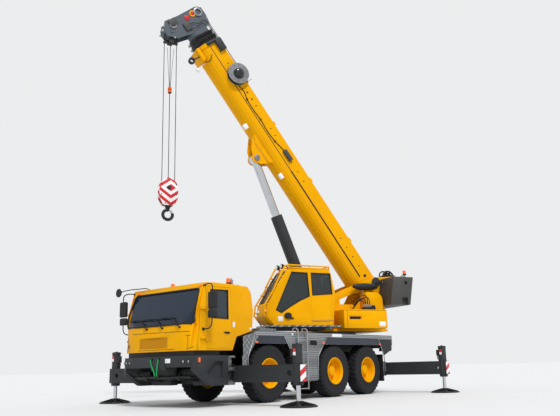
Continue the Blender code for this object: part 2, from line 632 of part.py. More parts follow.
def makeCraneCab():
    shell = cut(craneCabSolid(0.0), craneCabSolid(0.045))
    gap = 0.001
    door = common(copy(shell), prism([(x + (gap if x < 1 else -gap), z + (gap if z < 2.5 else -gap))
                                      for x, z in CRANE_DOOR], 1.1, 1.4))
    door = cut(door, prism(CRANE_REAR_WINDOW, 1.1, 1.4))
    rail = box((0.72, 1.222, 2.06), (1.24, 1.245, 2.085))
    shellCuts = [prism(CRANE_DOOR, 1.1, 1.4), prism(CRANE_SIDE_WINDOW, 1.1, 1.4),
                 prism(CRANE_SIDE_WINDOW, 0.4, 0.6), prism(CRANE_REAR_WINDOW, 0.4, 0.6),
                 box((0.3, 0.60, 2.80), (0.8, 1.13, 3.40)), box((1.30, 0.60, 3.3), (1.90, 1.13, 3.7)),
                 prism([(0.56, 2.56), (1.17, 2.56), (1.17, 3.44), (0.56, 3.44)], 2.05, 3.0, "yz")]
    shell = cut(shell, *shellCuts)
    finish("crane_cab_shell", shell, upper, "crane_yellow")
    finish("crane_cab_door", fuse(door, rail), upper, "crane_yellow")
    floor = CRANE_CAB_FLOOR + 0.045 + SEAT
    base = box((0.9, 0.62, floor), (2.2, 1.12, floor + 0.04))
    seat = [box((1.05, 0.70, floor + 0.03), (1.45, 1.05, floor + 0.36)),
            box((1.00, 0.64, floor + 0.34), (1.52, 1.12, floor + 0.48)),
            prism([(0.98, floor + 0.46), (1.12, floor + 0.46), (1.02, floor + 1.15), (0.90, floor + 1.15)], 0.66, 1.10),
            box((1.10, 0.60, floor + 0.46), (1.55, 0.68, floor + 0.66)),
            box((2.10, 0.70, floor + 0.03), (2.20, 1.05, floor + 0.75))]
    finish("crane_cab_seat", fuse(base, *seat), upper, "interior_plastic")


def boomOutline(inset, steps=10):
    """Section of a boom part: flat top, straight sides, round belly."""
    half = BOOM_HALF - inset
    top = BOOM_TOP - inset
    corner = 0.05
    belly = arc((0, BOOM_BELLY), half, 0, -180, steps)
    return [(half - corner, top), (half, top - corner)] + belly + [(-half, top - corner), (-half + corner, top)]


def boomSection(inset, rear, front, wall=BOOM_WALL):
    outer = prism(boomOutline(inset), rear, front, "yz")
    return cut(outer, prism(boomOutline(inset + wall), rear - 0.1, front + 0.1, "yz"))


def collar(inset, rear, front, grow):
    """Ring at a section's mouth that guides the next section in."""
    outer = prism(boomOutline(inset - grow), rear, front, "yz")
    return cut(outer, prism(boomOutline(inset + SECTION_STEP - FIT), rear - 0.1, front + 0.1, "yz"))


def makeBoomBase():
    base = boomSection(0.0, BOOM_REAR, BOOM_FRONT)
    bosses = [cylinder(0.17, (0, low, 0), BOOM_HALF + 0.06 - SEAT * 2 - 0.30, "y", 24)
              for low in (0.30, -BOOM_HALF - 0.06 + SEAT * 2)]
    ring = collar(0.0, BOOM_FRONT - 0.12, BOOM_FRONT + 0.003, 0.02)
    ears = []
    for low in (EYE_W / 2 + RUN, -EYE_W / 2 - RUN - 0.05):
        ears.append(prism([(5.95, -0.62), (4.90, -0.62), (5.05, -0.96)] + arc((PIN_U, PIN_N), 0.16, 200, 340, 6)
                          + [(5.60, -0.93)], low, low + 0.05))
    bracket = prism([(6.05, -0.55), (4.85, -0.55), (4.95, -0.70), (5.70, -0.72)], -0.22, 0.22)
    pin = cylinder(PIN_R, (PIN_U, -EYE_W / 2 - 0.07, PIN_N), EYE_W + 0.14, "y", 24)
    body = fuse(base, *bosses, ring)
    lugs = cut(fuse(bracket, *ears), prism(boomOutline(BOOM_WALL * 0.5), 4.0, 7.0, "yz"))
    body = fuse(body, lugs)
    hole = cylinder(bore(PIVOT_R, 24), (0, -0.6, 0), 1.2, "y", 24)
    tail = prism([(0.40, -0.80), (-0.40, -0.80), (-0.40, -0.20), (-0.25, -0.25), (0.35, -0.675)], -0.6, 0.6)
    body = fuse(cut(body, hole, tail), pin)
    finish("boom_base_section", body, boom, "crane_yellow")
    reel = turned([(0, 0), (0.34, 0), (0.34, 0.03), (0.22, 0.03), (0.22, 0.13), (0.34, 0.13), (0.34, 0.16),
                   (0.17, 0.16), (0.12, 0.24), (0, 0.27)], (7.75, BOOM_HALF + SEAT, -0.03), "y", 28)
    finish("cable_reel", reel, boom, "light_grey_paint")


def makeBoomSections():
    for number in (2, 3):
        inset = SECTION_STEP * (number - 1)
        front = BOOM_FRONT + SECTION_OUT * (number - 1)
        section = fuse(boomSection(inset, 0.20, front), collar(inset, front - 0.10, front + 0.003, 0.015))
        finish(f"boom_section_{number}", section, boom, "dark_grey_paint")


def makeBoomHead():
    inset = SECTION_STEP * 3
    front = BOOM_FRONT + SECTION_OUT * 3
    tube4 = boomSection(inset, 0.25, front)
    plate = prism(boomOutline(inset + 0.006), front - 0.04, front + 0.03, "yz")
    outline = [(front + 0.01, 0.02), (front + 0.02, 0.24), (9.90, 0.30), (10.16, 0.29), (10.26, 0.10), (10.22, -0.60),
               (10.24, -1.05), (10.02, -1.24), (9.78, -1.22), (9.60, -0.98), (front + 0.01, -0.50)]
    cheeks = [prism(outline, low, low + 0.03) for low in (-0.20, 0.17)]
    ties = [box((u, -0.185, n), (u + 0.10, 0.185, n + 0.04)) for u, n in ((9.70, 0.20), (9.75, -0.45))]
    sheaves = []
    for u, n, radius in ((10.04, 0.08, 0.20), (HEAD_U, HEAD_N, FALL_S - ROPE_R - 0.001)):
        sheaves.append(turned([(0, -0.10), (radius, -0.10), (radius, -0.06), (radius - 0.04, -0.05), (radius - 0.04, 0.05),
                               (radius, 0.06), (radius, 0.10), (0, 0.10)], (u, 0, n), "y", 18))
        sheaves.append(cylinder(SHEAVE_PIN_R, (u, -0.22, n), 0.44, "y", 12))
    finish("boom_head_section", fuse(tube4, plate, *cheeks, *ties, *sheaves), boom, "dark_grey_paint")


def makeLiftCylinder():
    """Barrel and rod made upright from the foot, then leaned onto the pin under the boom."""
    angle = math.radians(BOOM_DEG)
    pinS = PIVOT_S + PIN_U * math.cos(angle) - PIN_N * math.sin(angle)
    pinZ = PIVOT_Z + PIN_U * math.sin(angle) + PIN_N * math.cos(angle)
    length = math.hypot(pinS - FOOT_S, pinZ - FOOT_Z)
    lean = math.atan2(pinS - FOOT_S, pinZ - FOOT_Z)
    frame = upper @ Matrix.Translation((FOOT_S, 0, FOOT_Z)) @ Matrix.Rotation(lean, 4, "Y")
    tubeBody = turned([(0, 0.12), (BARREL_R - 0.02, 0.12), (BARREL_R, 0.16), (BARREL_R, BARREL_LENGTH),
                       (ROD_R + FIT, BARREL_LENGTH), (ROD_R + FIT, BARREL_LENGTH - 0.12),
                       (BORE_R, BARREL_LENGTH - 0.14), (BORE_R, 0.22), (0, 0.22)], (0, 0, 0), "z", 28)
    foot = cylinder(EYE_R, (0, -BARREL_R, 0), 2 * BARREL_R, "y", 24)
    finish("lift_cylinder_barrel", fuse(tubeBody, foot), frame, "dark_grey_paint")
    eye = cylinder(EYE_R, (0, -EYE_W / 2, length), EYE_W, "y", 24)
    rod = cylinder(ROD_R, (0, 0, length - ROD_LENGTH), ROD_LENGTH, sides=28)
    shape = cut(fuse(rod, eye), cylinder(bore(PIN_R, 24), (0, -0.3, length), 0.6, "y", 24))
    finish("lift_cylinder_rod", shape, frame, "chromed_steel", (0, 0, length))


def headPoint():
    angle = math.radians(BOOM_DEG)
    return (PIVOT_S + HEAD_U * math.cos(angle) - HEAD_N * math.sin(angle),
            PIVOT_Z + HEAD_U * math.sin(angle) + HEAD_N * math.cos(angle))


def makeHook():
    headS, headZ = headPoint()
    s = headS
    wheelZ = BLOCK_TOP - 0.30
    path = [(s + FALL_S, 0.0, headZ - 0.01), (s + FALL_S, 0.0, wheelZ)]
    path += [(s + a, 0.0, wheelZ + b) for a, b in arc((0, 0), FALL_S, 0, -180, 10)[1:]]
    path += [(s - FALL_S, 0.0, headZ - 0.01)]
    clampZ = headZ - 0.30
    middle = tube([(s, 0, clampZ), (s, 0, BLOCK_TOP + SEAT)], ROPE_R, 1)
    clamp = box((s - FALL_S - 0.03, -0.03, clampZ - 0.03), (s + FALL_S + 0.03, 0.03, clampZ + 0.03))
    cross = box((s - 0.025, -0.124, clampZ - 0.02), (s + 0.025, 0.124, clampZ + 0.02))
    straps = [box((s - 0.075, low, clampZ - 0.025), (s + 0.075, low + 0.02, headZ + 0.08)) for low in (-0.126, 0.106)]
    hanger = fuse(tube(path, ROPE_R, 1), middle, clamp, cross, *straps)
    hanger = cut(hanger, cylinder(bore(SHEAVE_PIN_R, 12), (s, -0.3, headZ), 0.6, "y", 12))
    finish("hoist_rope", hanger, upper, "steel")
    cheek = arc((s, wheelZ), 0.27, 0, 180, 8) + [(s - 0.27, wheelZ - 0.30), (s - 0.16, wheelZ - 0.52), (s + 0.16, wheelZ - 0.52),
                                                 (s + 0.27, wheelZ - 0.30)]
    plates = [prism(cheek, low, low + 0.03) for low in (-0.11, 0.08)]
    sheave = cylinder(FALL_S - ROPE_R - 0.006, (s, -0.09, wheelZ), 0.18, "y", 24)
    head = box((s - 0.05, -0.09, wheelZ + 0.15), (s + 0.05, 0.09, BLOCK_TOP))
    lower = box((s - 0.13, -0.09, wheelZ - 0.52), (s + 0.13, 0.09, wheelZ - 0.40))
    block = fuse(plates[0], plates[1], sheave, head, lower)
    finish("hook_block", block, upper, "light_grey_paint", (s, 0, wheelZ))
    shankTop = wheelZ - 0.52 - SEAT
    radius = 0.14
    middle = HOOK_LOW + radius + 0.05
    shank = tube([(s, 0, shankTop), (s, 0, middle + radius + 0.02)], 0.045, 2)
    bend = tube([(s + a, 0, middle + b) for a, b in arc((0, 0), radius, 90, -180, 12)], 0.045, 2)
    finish("hook", fuse(shank, bend), upper, "black_paint", (s, 0, middle))


makeChassis()
makeDeck()
makeBumper()
makeCab()
makeCabInterior()
makeEngine()
for number, axleX in enumerate(AXLE_X, 1):
    makeAxle(number, axleX)
    for sideName, side in (("left", 1), ("right", -1)):
        makeKnuckle(f"knuckle_{number}_{sideName}", axleX, side)
        makeWheel(f"wheel_{number}_{sideName}", axleX, side)
for place, beamX in OUTRIGGER_X.items():
    makeOutrigger(place, beamX)
makeLadder()
makeSlewRing()
makeTurntable()
makeSuperstructure()
makeCraneCab()
makeBoomBase()
makeBoomSections()
makeBoomHead()
makeLiftCylinder()
makeHook()
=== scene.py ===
import math

import bmesh
import bpy
from mathutils import Matrix, Vector


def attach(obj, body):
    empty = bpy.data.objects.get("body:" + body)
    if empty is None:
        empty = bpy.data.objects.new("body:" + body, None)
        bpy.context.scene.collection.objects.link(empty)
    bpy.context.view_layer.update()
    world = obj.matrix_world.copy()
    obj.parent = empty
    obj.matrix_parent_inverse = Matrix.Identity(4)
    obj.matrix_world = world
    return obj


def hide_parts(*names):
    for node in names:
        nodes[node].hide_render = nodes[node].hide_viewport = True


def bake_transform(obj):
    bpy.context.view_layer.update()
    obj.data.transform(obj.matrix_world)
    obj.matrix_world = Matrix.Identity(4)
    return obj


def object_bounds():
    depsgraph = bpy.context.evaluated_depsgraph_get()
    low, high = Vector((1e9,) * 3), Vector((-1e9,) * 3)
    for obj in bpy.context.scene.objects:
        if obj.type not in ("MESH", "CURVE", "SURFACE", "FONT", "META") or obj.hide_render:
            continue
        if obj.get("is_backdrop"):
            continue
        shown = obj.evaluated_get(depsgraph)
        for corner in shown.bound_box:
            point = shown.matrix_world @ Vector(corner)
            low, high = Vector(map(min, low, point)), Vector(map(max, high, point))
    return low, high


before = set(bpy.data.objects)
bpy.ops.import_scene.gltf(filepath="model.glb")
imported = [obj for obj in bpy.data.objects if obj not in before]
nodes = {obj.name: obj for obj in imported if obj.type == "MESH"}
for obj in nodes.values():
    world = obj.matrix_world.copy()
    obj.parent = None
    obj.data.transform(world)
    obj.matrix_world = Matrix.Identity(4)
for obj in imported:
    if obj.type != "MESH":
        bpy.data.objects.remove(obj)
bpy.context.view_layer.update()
scene = bpy.context.scene
print("frame loaded:", len(nodes), "nodes")


def rad(degrees):
    return math.radians(degrees)


# The three frames the machine is measured in: carrier from axle 2, superstructure from the slewing axis,
# boom from its pivot
place = {"axleTwoX": -0.54, "slewX": -2.13, "slewDegrees": -25.65, "pivotS": -1.40, "pivotZ": 3.33,
         "boomDegrees": 54.6, "hookS": 5.1427, "wheelZ": 5.90}
carrierFrame = Matrix.Translation((place["axleTwoX"], 0, 0))
superFrame = Matrix.Translation((place["slewX"], 0, 0)) @ Matrix.Rotation(rad(place["slewDegrees"]), 4, "Z")
boomFrame = (superFrame @ Matrix.Translation((place["pivotS"], 0, place["pivotZ"]))
             @ Matrix.Rotation(-rad(place["boomDegrees"]), 4, "Y"))


# Colours and materials; the metals and enamels share one recipe, and the dictionary holds their values
def hexColour(code):
    # sRGB hex value to linear
    channels = [int(code[i:i + 2], 16) / 255 for i in (0, 2, 4)]
    return (*[c / 12.92 if c <= 0.04045 else ((c + 0.055) / 1.055) ** 2.4 for c in channels], 1.0)


def addNode(tree, kind, settings=None, links=None):
    # one node with its settings (property or socket: value) and its links (socket: output it takes)
    node = tree.nodes.new(kind)
    for key, value in (settings or {}).items():
        if isinstance(key, str) and hasattr(node, key):
            setattr(node, key, value)
        else:
            node.inputs[key].default_value = value
    for key, output in (links or {}).items():
        tree.links.new(output, node.inputs[key])
    return node


def newMaterial(name):
    material = bpy.data.materials.new(name)
    material.use_nodes = True
    tree = material.node_tree
    shader = tree.nodes["Principled BSDF"]
    where = addNode(tree, "ShaderNodeTexCoord")
    return material, tree, shader, where.outputs["Object"]


def makeFinish(name, look):
    material, tree, shader, where = newMaterial(name)
    base, worn = hexColour(look["colour"]), hexColour(look.get("worn", look["colour"]))
    patches = addNode(tree, "ShaderNodeTexNoise",
                      {"Scale": look.get("patchScale", 1.7), "Detail": 5.0, "Roughness": 0.62},
                      {"Vector": where})
    ramp = addNode(tree, "ShaderNodeValToRGB", links={"Fac": patches.outputs["Fac"]})
    ramp.color_ramp.elements[0].position = look.get("patchFrom", 0.48)
    ramp.color_ramp.elements[1].position = look.get("patchTo", 0.75)
    ramp.color_ramp.elements[0].color = base
    ramp.color_ramp.elements[1].color = worn
    tree.links.new(ramp.outputs["Color"], shader.inputs["Base Color"])
    shader.inputs["Metallic"].default_value = look.get("metallic", 0.0)
    duller = look["roughness"] + look.get("roughSpread", 0.12)
    rough = addNode(tree, "ShaderNodeMapRange", {"To Min": look["roughness"], "To Max": duller},
                    {"Value": patches.outputs["Fac"]})
    tree.links.new(rough.outputs["Result"], shader.inputs["Roughness"])
    shader.inputs["Specular IOR Level"].default_value = look.get("specular", 0.4)
    if look.get("coat"):
        shader.inputs["Coat Weight"].default_value = look["coat"]
        shader.inputs["Coat Roughness"].default_value = 0.08
    grain = addNode(tree, "ShaderNodeTexNoise", {"Scale": look.get("grainScale", 140.0), "Detail": 3.0},
                    {"Vector": where})
    bump = addNode(tree, "ShaderNodeBump",
                   {"Strength": look.get("bump", 0.05), "Distance": look.get("bumpDepth", 0.002)},
                   {"Height": grain.outputs["Fac"]})
    tree.links.new(bump.outputs["Normal"], shader.inputs["Normal"])
    return material


finishes = {
    # colour and worn colour of the patches; roughness, metallic and coat; scales and heights of the grain
    # two-pack polyurethane topcoat, sprayed: deep gloss with a trace of orange peel
    "yellowTopcoat": {"colour": "ECA800", "worn": "E8A100", "roughness": 0.30, "specular": 0.06,
        "coat": 0.02, "bump": 0.03, "grainScale": 60.0},
    # chassis enamel, satin, with road dust in its patches
    "greyChassisEnamel": {"colour": "2D3033", "worn": "36393C", "specular": 0.3, "roughness": 0.48,
        "bump": 0.08, "grainScale": 90.0},
    # thick grey coat over cast ballast, dull and slightly uneven
    "counterweightGrey": {"colour": "3F3F3D", "worn": "4A4947", "roughness": 0.5, "bump": 0.10,
        "grainScale": 60.0},
    # satin enamels on folded sheet and plate, fine and even
    "navyPanelEnamel": {"colour": "1E2431", "worn": "252C3C", "roughness": 0.38, "coat": 0.2, "bump": 0.03},
    "slateEnamel": {"colour": "4B535B", "worn": "5A626A", "roughness": 0.42, "bump": 0.05},
    "blackEnamel": {"colour": "131416", "worn": "1D1F21", "roughness": 0.42, "bump": 0.05},
    # moulded ABS, black, fine grain that scatters the light softly
    "blackAbs": {"colour": "18191B", "worn": "202224", "roughness": 0.55, "bump": 0.12,
        "grainScale": 260.0},
    "greyAbs": {"colour": "3B3E42", "worn": "45484C", "roughness": 0.6, "bump": 0.12, "grainScale": 260.0},
    # hot-dip galvanised steel, spangled and dull
    "galvanisedSteel": {"colour": "A9ACAE", "worn": "8E9294", "roughness": 0.42, "metallic": 0.85,
        "patchScale": 28.0, "bump": 0.05},
    # turned steel with an even sheen, and steel under grease, darker and patchy
    "machinedSteel": {"colour": "8A8C8F", "worn": "6F7174", "roughness": 0.35, "metallic": 1.0,
        "patchScale": 6.0, "bump": 0.05},
    "greasedSteel": {"colour": "4A4A4A", "worn": "33322F", "roughness": 0.45, "metallic": 0.8,
        "patchScale": 9.0, "bump": 0.15},
    # hard chrome plate on ground rod: mirror-like
    "hardChrome": {"colour": "C9CCCF", "worn": "BFC2C6", "roughness": 0.10, "roughSpread": 0.04,
        "metallic": 1.0, "bump": 0.0},
    # carbon-black tyre rubber, matt, dusty on the sidewall
    "tyreRubber": {"colour": "18191C", "worn": "222326", "roughness": 0.78, "patchScale": 4.0,
        "bump": 0.2, "grainScale": 120.0},
    # extruded hose and seal rubber, matt with a fine print
    "hoseRubber": {"colour": "101112", "worn": "1A1B1C", "roughness": 0.6, "bump": 0.2,
        "grainScale": 300.0},
    # embossed vinyl with a leather grain
    "seatVinyl": {"colour": "26282B", "worn": "2E3033", "roughness": 0.65, "bump": 0.25,
        "grainScale": 420.0},
    # signal enamels on small pieces, smooth with a soft gloss
    "whiteEnamel": {"colour": "E9EAEA", "worn": "DADBDB", "roughness": 0.4, "bump": 0.03},
    "redEnamel": {"colour": "C4161C", "worn": "B0141A", "roughness": 0.38, "bump": 0.03},
    "orangeEnamel": {"colour": "E8640F", "worn": "D85A0C", "roughness": 0.4, "bump": 0.03},
    # woven polyester webbing, dull
    "greenWebbing": {"colour": "12A453", "worn": "0E8C46", "roughness": 0.8, "bump": 0.3,
        "grainScale": 500.0},
    # yellow primer, thin and slightly chalky
    "paleYellowPrimer": {"colour": "F2C23A", "worn": "E6B42E", "roughness": 0.45, "bump": 0.08},
}
materials = {name: makeFinish(name, look) for name, look in finishes.items()}


def makeTreadplate():
    # aluminium five-bar plate: bright bars on a dull ground, turned a quarter from square to square; every
    # other square is also darkened, painted shade as if it caught less light
    material, tree, shader, where = newMaterial("aluminiumTreadplate")
    shader.inputs["Metallic"].default_value = 0.9
    shader.inputs["Roughness"].default_value = 0.42
    heights = []
    for turn, shift in ((45, 0.0), (-45, 0.5)):
        turned = addNode(tree, "ShaderNodeMapping", {"Rotation": (rad(turn), rad(turn), rad(turn))},
                         {"Vector": where})
        bars = addNode(tree, "ShaderNodeTexWave", {"Scale": 17.0, "Distortion": 0.0, "wave_profile": "SIN"},
                       {"Vector": turned.outputs["Vector"]})
        heights.append(bars)
    cells = addNode(tree, "ShaderNodeTexChecker", {"Scale": 14.0}, {"Vector": where})
    mixed = addNode(tree, "ShaderNodeMix", {"data_type": "FLOAT"},
                    {0: cells.outputs["Fac"], 2: heights[0].outputs["Fac"], 3: heights[1].outputs["Fac"]})
    ramp = addNode(tree, "ShaderNodeValToRGB", links={"Fac": mixed.outputs[0]})
    ramp.color_ramp.elements[0].position = 0.45
    ramp.color_ramp.elements[1].position = 0.8
    ramp.color_ramp.elements[0].color = hexColour("55595C")
    ramp.color_ramp.elements[1].color = hexColour("C3C6C8")
    # painted shade: the checker dims the colour of every other square to 62 per cent
    tone = addNode(tree, "ShaderNodeMapRange", {"To Min": 0.62, "To Max": 1.0},
                   {"Value": cells.outputs["Fac"]})
    paintedCellShade = addNode(tree, "ShaderNodeVectorMath", {"operation": "SCALE"},
                     {0: ramp.outputs["Color"], "Scale": tone.outputs["Result"]})
    tree.links.new(paintedCellShade.outputs[0], shader.inputs["Base Color"])
    bump = addNode(tree, "ShaderNodeBump", {"Strength": 0.5, "Distance": 0.003}, {"Height": mixed.outputs[0]})
    tree.links.new(bump.outputs["Normal"], shader.inputs["Normal"])
    return material


def makeGlass(name, colour, thick, glint=0.5):
    # laminated float glass with a grey tint: clear to look through, sharp reflections
    material, tree, shader, where = newMaterial(name)
    streaks = addNode(tree, "ShaderNodeTexNoise", {"Scale": 3.0, "Detail": 2.0}, {"Vector": where})
    ramp = addNode(tree, "ShaderNodeValToRGB", links={"Fac": streaks.outputs["Fac"]})
    ramp.color_ramp.elements[0].color = hexColour(colour)
    ramp.color_ramp.elements[1].color = hexColour(colour)
    tree.links.new(ramp.outputs["Color"], shader.inputs["Base Color"])
    shader.inputs["Transmission Weight"].default_value = thick
    shader.inputs["Roughness"].default_value = 0.02
    shader.inputs["IOR"].default_value = 1.45
    shader.inputs["Specular IOR Level"].default_value = glint
    return material


def makeLens(name, colour, glow=0.0):
    # moulded acrylic lens with fine ribs over a bright reflector; a glow makes the lens light itself faintly,
    # which on the reflectors is painted light
    material, tree, shader, where = newMaterial(name)
    ribs = addNode(tree, "ShaderNodeTexWave", {"Scale": 60.0}, {"Vector": where})
    bump = addNode(tree, "ShaderNodeBump", {"Strength": 0.3, "Distance": 0.002},
                   {"Height": ribs.outputs["Fac"]})
    tree.links.new(bump.outputs["Normal"], shader.inputs["Normal"])
    shader.inputs["Base Color"].default_value = hexColour(colour)
    shader.inputs["Roughness"].default_value = 0.12
    shader.inputs["Coat Weight"].default_value = 0.8
    shader.inputs["Emission Color"].default_value = hexColour(colour)
    shader.inputs["Emission Strength"].default_value = glow
    return material


def makeStripes(name, first, second, along, width, mirrorAt=None):
    # reflective sheeting in two colours; the stripes run square to the direction along, or meet at a line
    material, tree, shader, where = newMaterial(name)
    if mirrorAt is not None:
        parts = addNode(tree, "ShaderNodeVectorMath", {"operation": "SUBTRACT", 1: mirrorAt}, {0: where})
        where = addNode(tree, "ShaderNodeVectorMath", {"operation": "ABSOLUTE"},
                        {0: parts.outputs[0]}).outputs[0]
    run = addNode(tree, "ShaderNodeVectorMath", {"operation": "DOT_PRODUCT", 1: [a / width for a in along]},
                  {0: where})
    step = addNode(tree, "ShaderNodeMath", {"operation": "FRACT"}, {0: run.outputs["Value"]})
    ramp = addNode(tree, "ShaderNodeValToRGB", links={"Fac": step.outputs[0]})
    ramp.color_ramp.interpolation = "CONSTANT"
    ramp.color_ramp.elements[0].color = hexColour(first)
    ramp.color_ramp.elements[1].position = 0.5
    ramp.color_ramp.elements[1].color = hexColour(second)
    tree.links.new(ramp.outputs["Color"], shader.inputs["Base Color"])
    shader.inputs["Roughness"].default_value = 0.35
    cells = addNode(tree, "ShaderNodeTexVoronoi", {"Scale": 220.0}, {"Vector": where})
    bump = addNode(tree, "ShaderNodeBump", {"Strength": 0.08, "Distance": 0.001},
                   {"Height": cells.outputs["Distance"]})
    tree.links.new(bump.outputs["Normal"], shader.inputs["Normal"])
    return material


def makeRibbed():
    # extruded aluminium side profile: level ribs 22 mm apart, with painted shade darkening the grooves
    # between them
    material, tree, shader, where = newMaterial("ribbedAluminiumProfile")
    level = addNode(tree, "ShaderNodeMapping", {"Rotation": (0, rad(90), 0)}, {"Vector": where})
    ribs = addNode(tree, "ShaderNodeTexWave", {"Scale": 7.0, "wave_profile": "SIN"},
                   {"Vector": level.outputs["Vector"]})
    # painted shade: the ramp turns the troughs of the rib wave dark
    ramp = addNode(tree, "ShaderNodeValToRGB", links={"Fac": ribs.outputs["Fac"]})
    ramp.color_ramp.elements[0].color = hexColour("6D7073")
    ramp.color_ramp.elements[1].color = hexColour("B4B7B9")
    tree.links.new(ramp.outputs["Color"], shader.inputs["Base Color"])
    shader.inputs["Metallic"].default_value = 0.8
    shader.inputs["Roughness"].default_value = 0.42
    bump = addNode(tree, "ShaderNodeBump", {"Strength": 0.5, "Distance": 0.004},
                   {"Height": ribs.outputs["Fac"]})
    tree.links.new(bump.outputs["Normal"], shader.inputs["Normal"])
    return material


def makeGrille():
    # expanded-metal grille sprayed with the cab, on a flat plate: meshes 30 mm wide, whose middles are
    # painted shade, dark brown for the recess behind them
    material, tree, shader, where = newMaterial("expandedMetalPaintedShade")
    squashed = addNode(tree, "ShaderNodeMapping", {"Scale": (1.0, 1.0, 2.2)}, {"Vector": where})
    meshes = addNode(tree, "ShaderNodeTexVoronoi",
                     {"Scale": 30.0, "Randomness": 0.0, "feature": "DISTANCE_TO_EDGE"},
                     {"Vector": squashed.outputs["Vector"]})
    ramp = addNode(tree, "ShaderNodeValToRGB", links={"Fac": meshes.outputs["Distance"]})
    ramp.color_ramp.elements[0].position = 0.10
    ramp.color_ramp.elements[1].position = 0.22
    # yellow at the mesh edges, dark brown in their middles: painted shade
    ramp.color_ramp.elements[0].color = hexColour("E09A00")
    ramp.color_ramp.elements[1].color = hexColour("8A5A06")
    tree.links.new(ramp.outputs["Color"], shader.inputs["Base Color"])
    shader.inputs["Roughness"].default_value = 0.5
    shader.inputs["Specular IOR Level"].default_value = 0.1
    bump = addNode(tree, "ShaderNodeBump", {"Strength": 0.6, "Distance": 0.004, "invert": True},
                   {"Height": meshes.outputs["Distance"]})
    tree.links.new(bump.outputs["Normal"], shader.inputs["Normal"])
    return material


materials["treadplate"] = makeTreadplate()
materials["tintedGlass"] = makeGlass("tintedLaminatedGlass", "22364E", thick=0.50, glint=0.25)
materials["amberLens"] = makeLens("amberAcrylicLens", "FF6A00", 0.15)
materials["clearLens"] = makeLens("clearAcrylicLens", "E8ECEE")
materials["smokedLens"] = makeLens("smokedAcrylicLens", "8D9396")
materials["redLens"] = makeLens("redAcrylicLens", "C8141A", 0.05)
materials["ribbedAluminium"] = makeRibbed()
materials["grillePaintedShade"] = makeGrille()
hookCentre = superFrame @ Vector((place["hookS"], 0.0, place["wheelZ"]))
materials["redWhiteChevrons"] = makeStripes("redWhiteChevronSheeting", "C8141A", "E9EAEA",
                                            (0.62, 0.0, 0.78), 0.17, hookCentre)
materials["redWhiteStripes"] = makeStripes("redWhiteStripeSheeting", "D0141B", "EDEEEE", (0.5, 0.5, 0.86),
                                           0.20)
materials["cabGlass"] = makeGlass("tintedCabGlass", "5B6E7C", thick=0.80)
materials["clearGlass"] = makeGlass("clearLaminatedGlass", "A9B6BA", thick=0.9)
materials["craneGlass"] = makeGlass("tintedCraneGlass", "4B5557", thick=0.72)
materials["mirrorGlass"] = makeFinish("silveredMirrorGlass",
                                      {"colour": "AEB6BC", "roughness": 0.04, "roughSpread": 0.02,
                                       "metallic": 1.0, "bump": 0.0})
# painted shadow: flat near-black for seams, holes and slots, where only shade would show
materials["shadowGap"] = makeFinish("paintedShadowBlack", {"colour": "0B0B0C", "roughness": 0.8, "bump": 0.05})
materials["glossBlackAbs"] = makeFinish("glossBlackAbs",
                                        {"colour": "0D0E10", "roughness": 0.14, "coat": 0.5, "bump": 0.0})
print("materials:", len(materials))


# Modelling steps that the pieces share
def clear():
    bpy.ops.object.select_all(action="DESELECT")


def pick(*pieces):
    clear()
    for piece in pieces:
        piece.select_set(True)
    bpy.context.view_layer.objects.active = pieces[0]


def applyModifiers(piece):
    pick(piece)
    for modifier in list(piece.modifiers):
        bpy.ops.object.modifier_apply(modifier=modifier.name)
    return piece


def soften(piece, width, segments=2, angle=32, least=0.0):
    # rounds sharp edges; with a least length only the long ones, so small fittings don't hold the radius back
    bevel = piece.modifiers.new("Bevel", "BEVEL")
    bevel.width = width
    bevel.segments = segments
    bevel.harden_normals = False
    if least:
        shape = bmesh.new()
        shape.from_mesh(piece.data)
        weight = shape.edges.layers.float.new("bevel_weight_edge")
        for edge in shape.edges:
            sharp = len(edge.link_faces) == 2 and edge.calc_face_angle() > rad(angle)
            if sharp and edge.calc_length() > least:
                edge[weight] = 1.0
        shape.to_mesh(piece.data)
        shape.free()
        bevel.limit_method = "WEIGHT"
    else:
        bevel.limit_method = "ANGLE"
        bevel.angle_limit = rad(angle)
    applyModifiers(piece)
    bpy.ops.object.shade_smooth_by_angle(angle=rad(38))
    return piece


def merged(piece, clean=True):
    pick(piece)
    bpy.ops.object.mode_set(mode="EDIT")
    bpy.ops.mesh.select_all(action="SELECT")
    bpy.ops.mesh.remove_doubles(threshold=0.0002)
    if clean:
        bpy.ops.mesh.dissolve_limited(angle_limit=rad(1.5))
    bpy.ops.object.mode_set(mode="OBJECT")
    return piece


def handOver(piece, name, finish, body, replaced=()):
    piece.name = name
    piece.data.name = name
    piece.data.materials.clear()
    piece.data.materials.append(materials[finish])
    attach(piece, body)
    if replaced:
        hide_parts(*replaced)
    return piece


def settle(piece, where=None):
    # puts a piece's place into its mesh, and the frame it was measured in
    piece.data.transform((where or Matrix()) @ piece.matrix_basis)
    piece.matrix_basis = Matrix()
    return piece


def block(low, high, radius=0.0, segments=2):
    clear()
    centre = [(a + b) / 2 for a, b in zip(low, high)]
    bpy.ops.mesh.primitive_cube_add(size=1, location=centre, scale=[b - a for a, b in zip(low, high)])
    piece = settle(bpy.context.active_object)
    return soften(piece, radius, segments) if radius else piece


def bar(start, end, radius, sides=16, tip=None):
    # round bar or cone between two points
    clear()
    start, end = Vector(start), Vector(end)
    along = end - start
    bpy.ops.mesh.primitive_cone_add(vertices=sides, radius1=radius, radius2=radius if tip is None else tip,
                                    depth=along.length, location=(start + end) / 2,
                                    rotation=along.to_track_quat("Z", "Y").to_euler())
    bpy.ops.object.shade_smooth_by_angle(angle=rad(40))
    return settle(bpy.context.active_object)


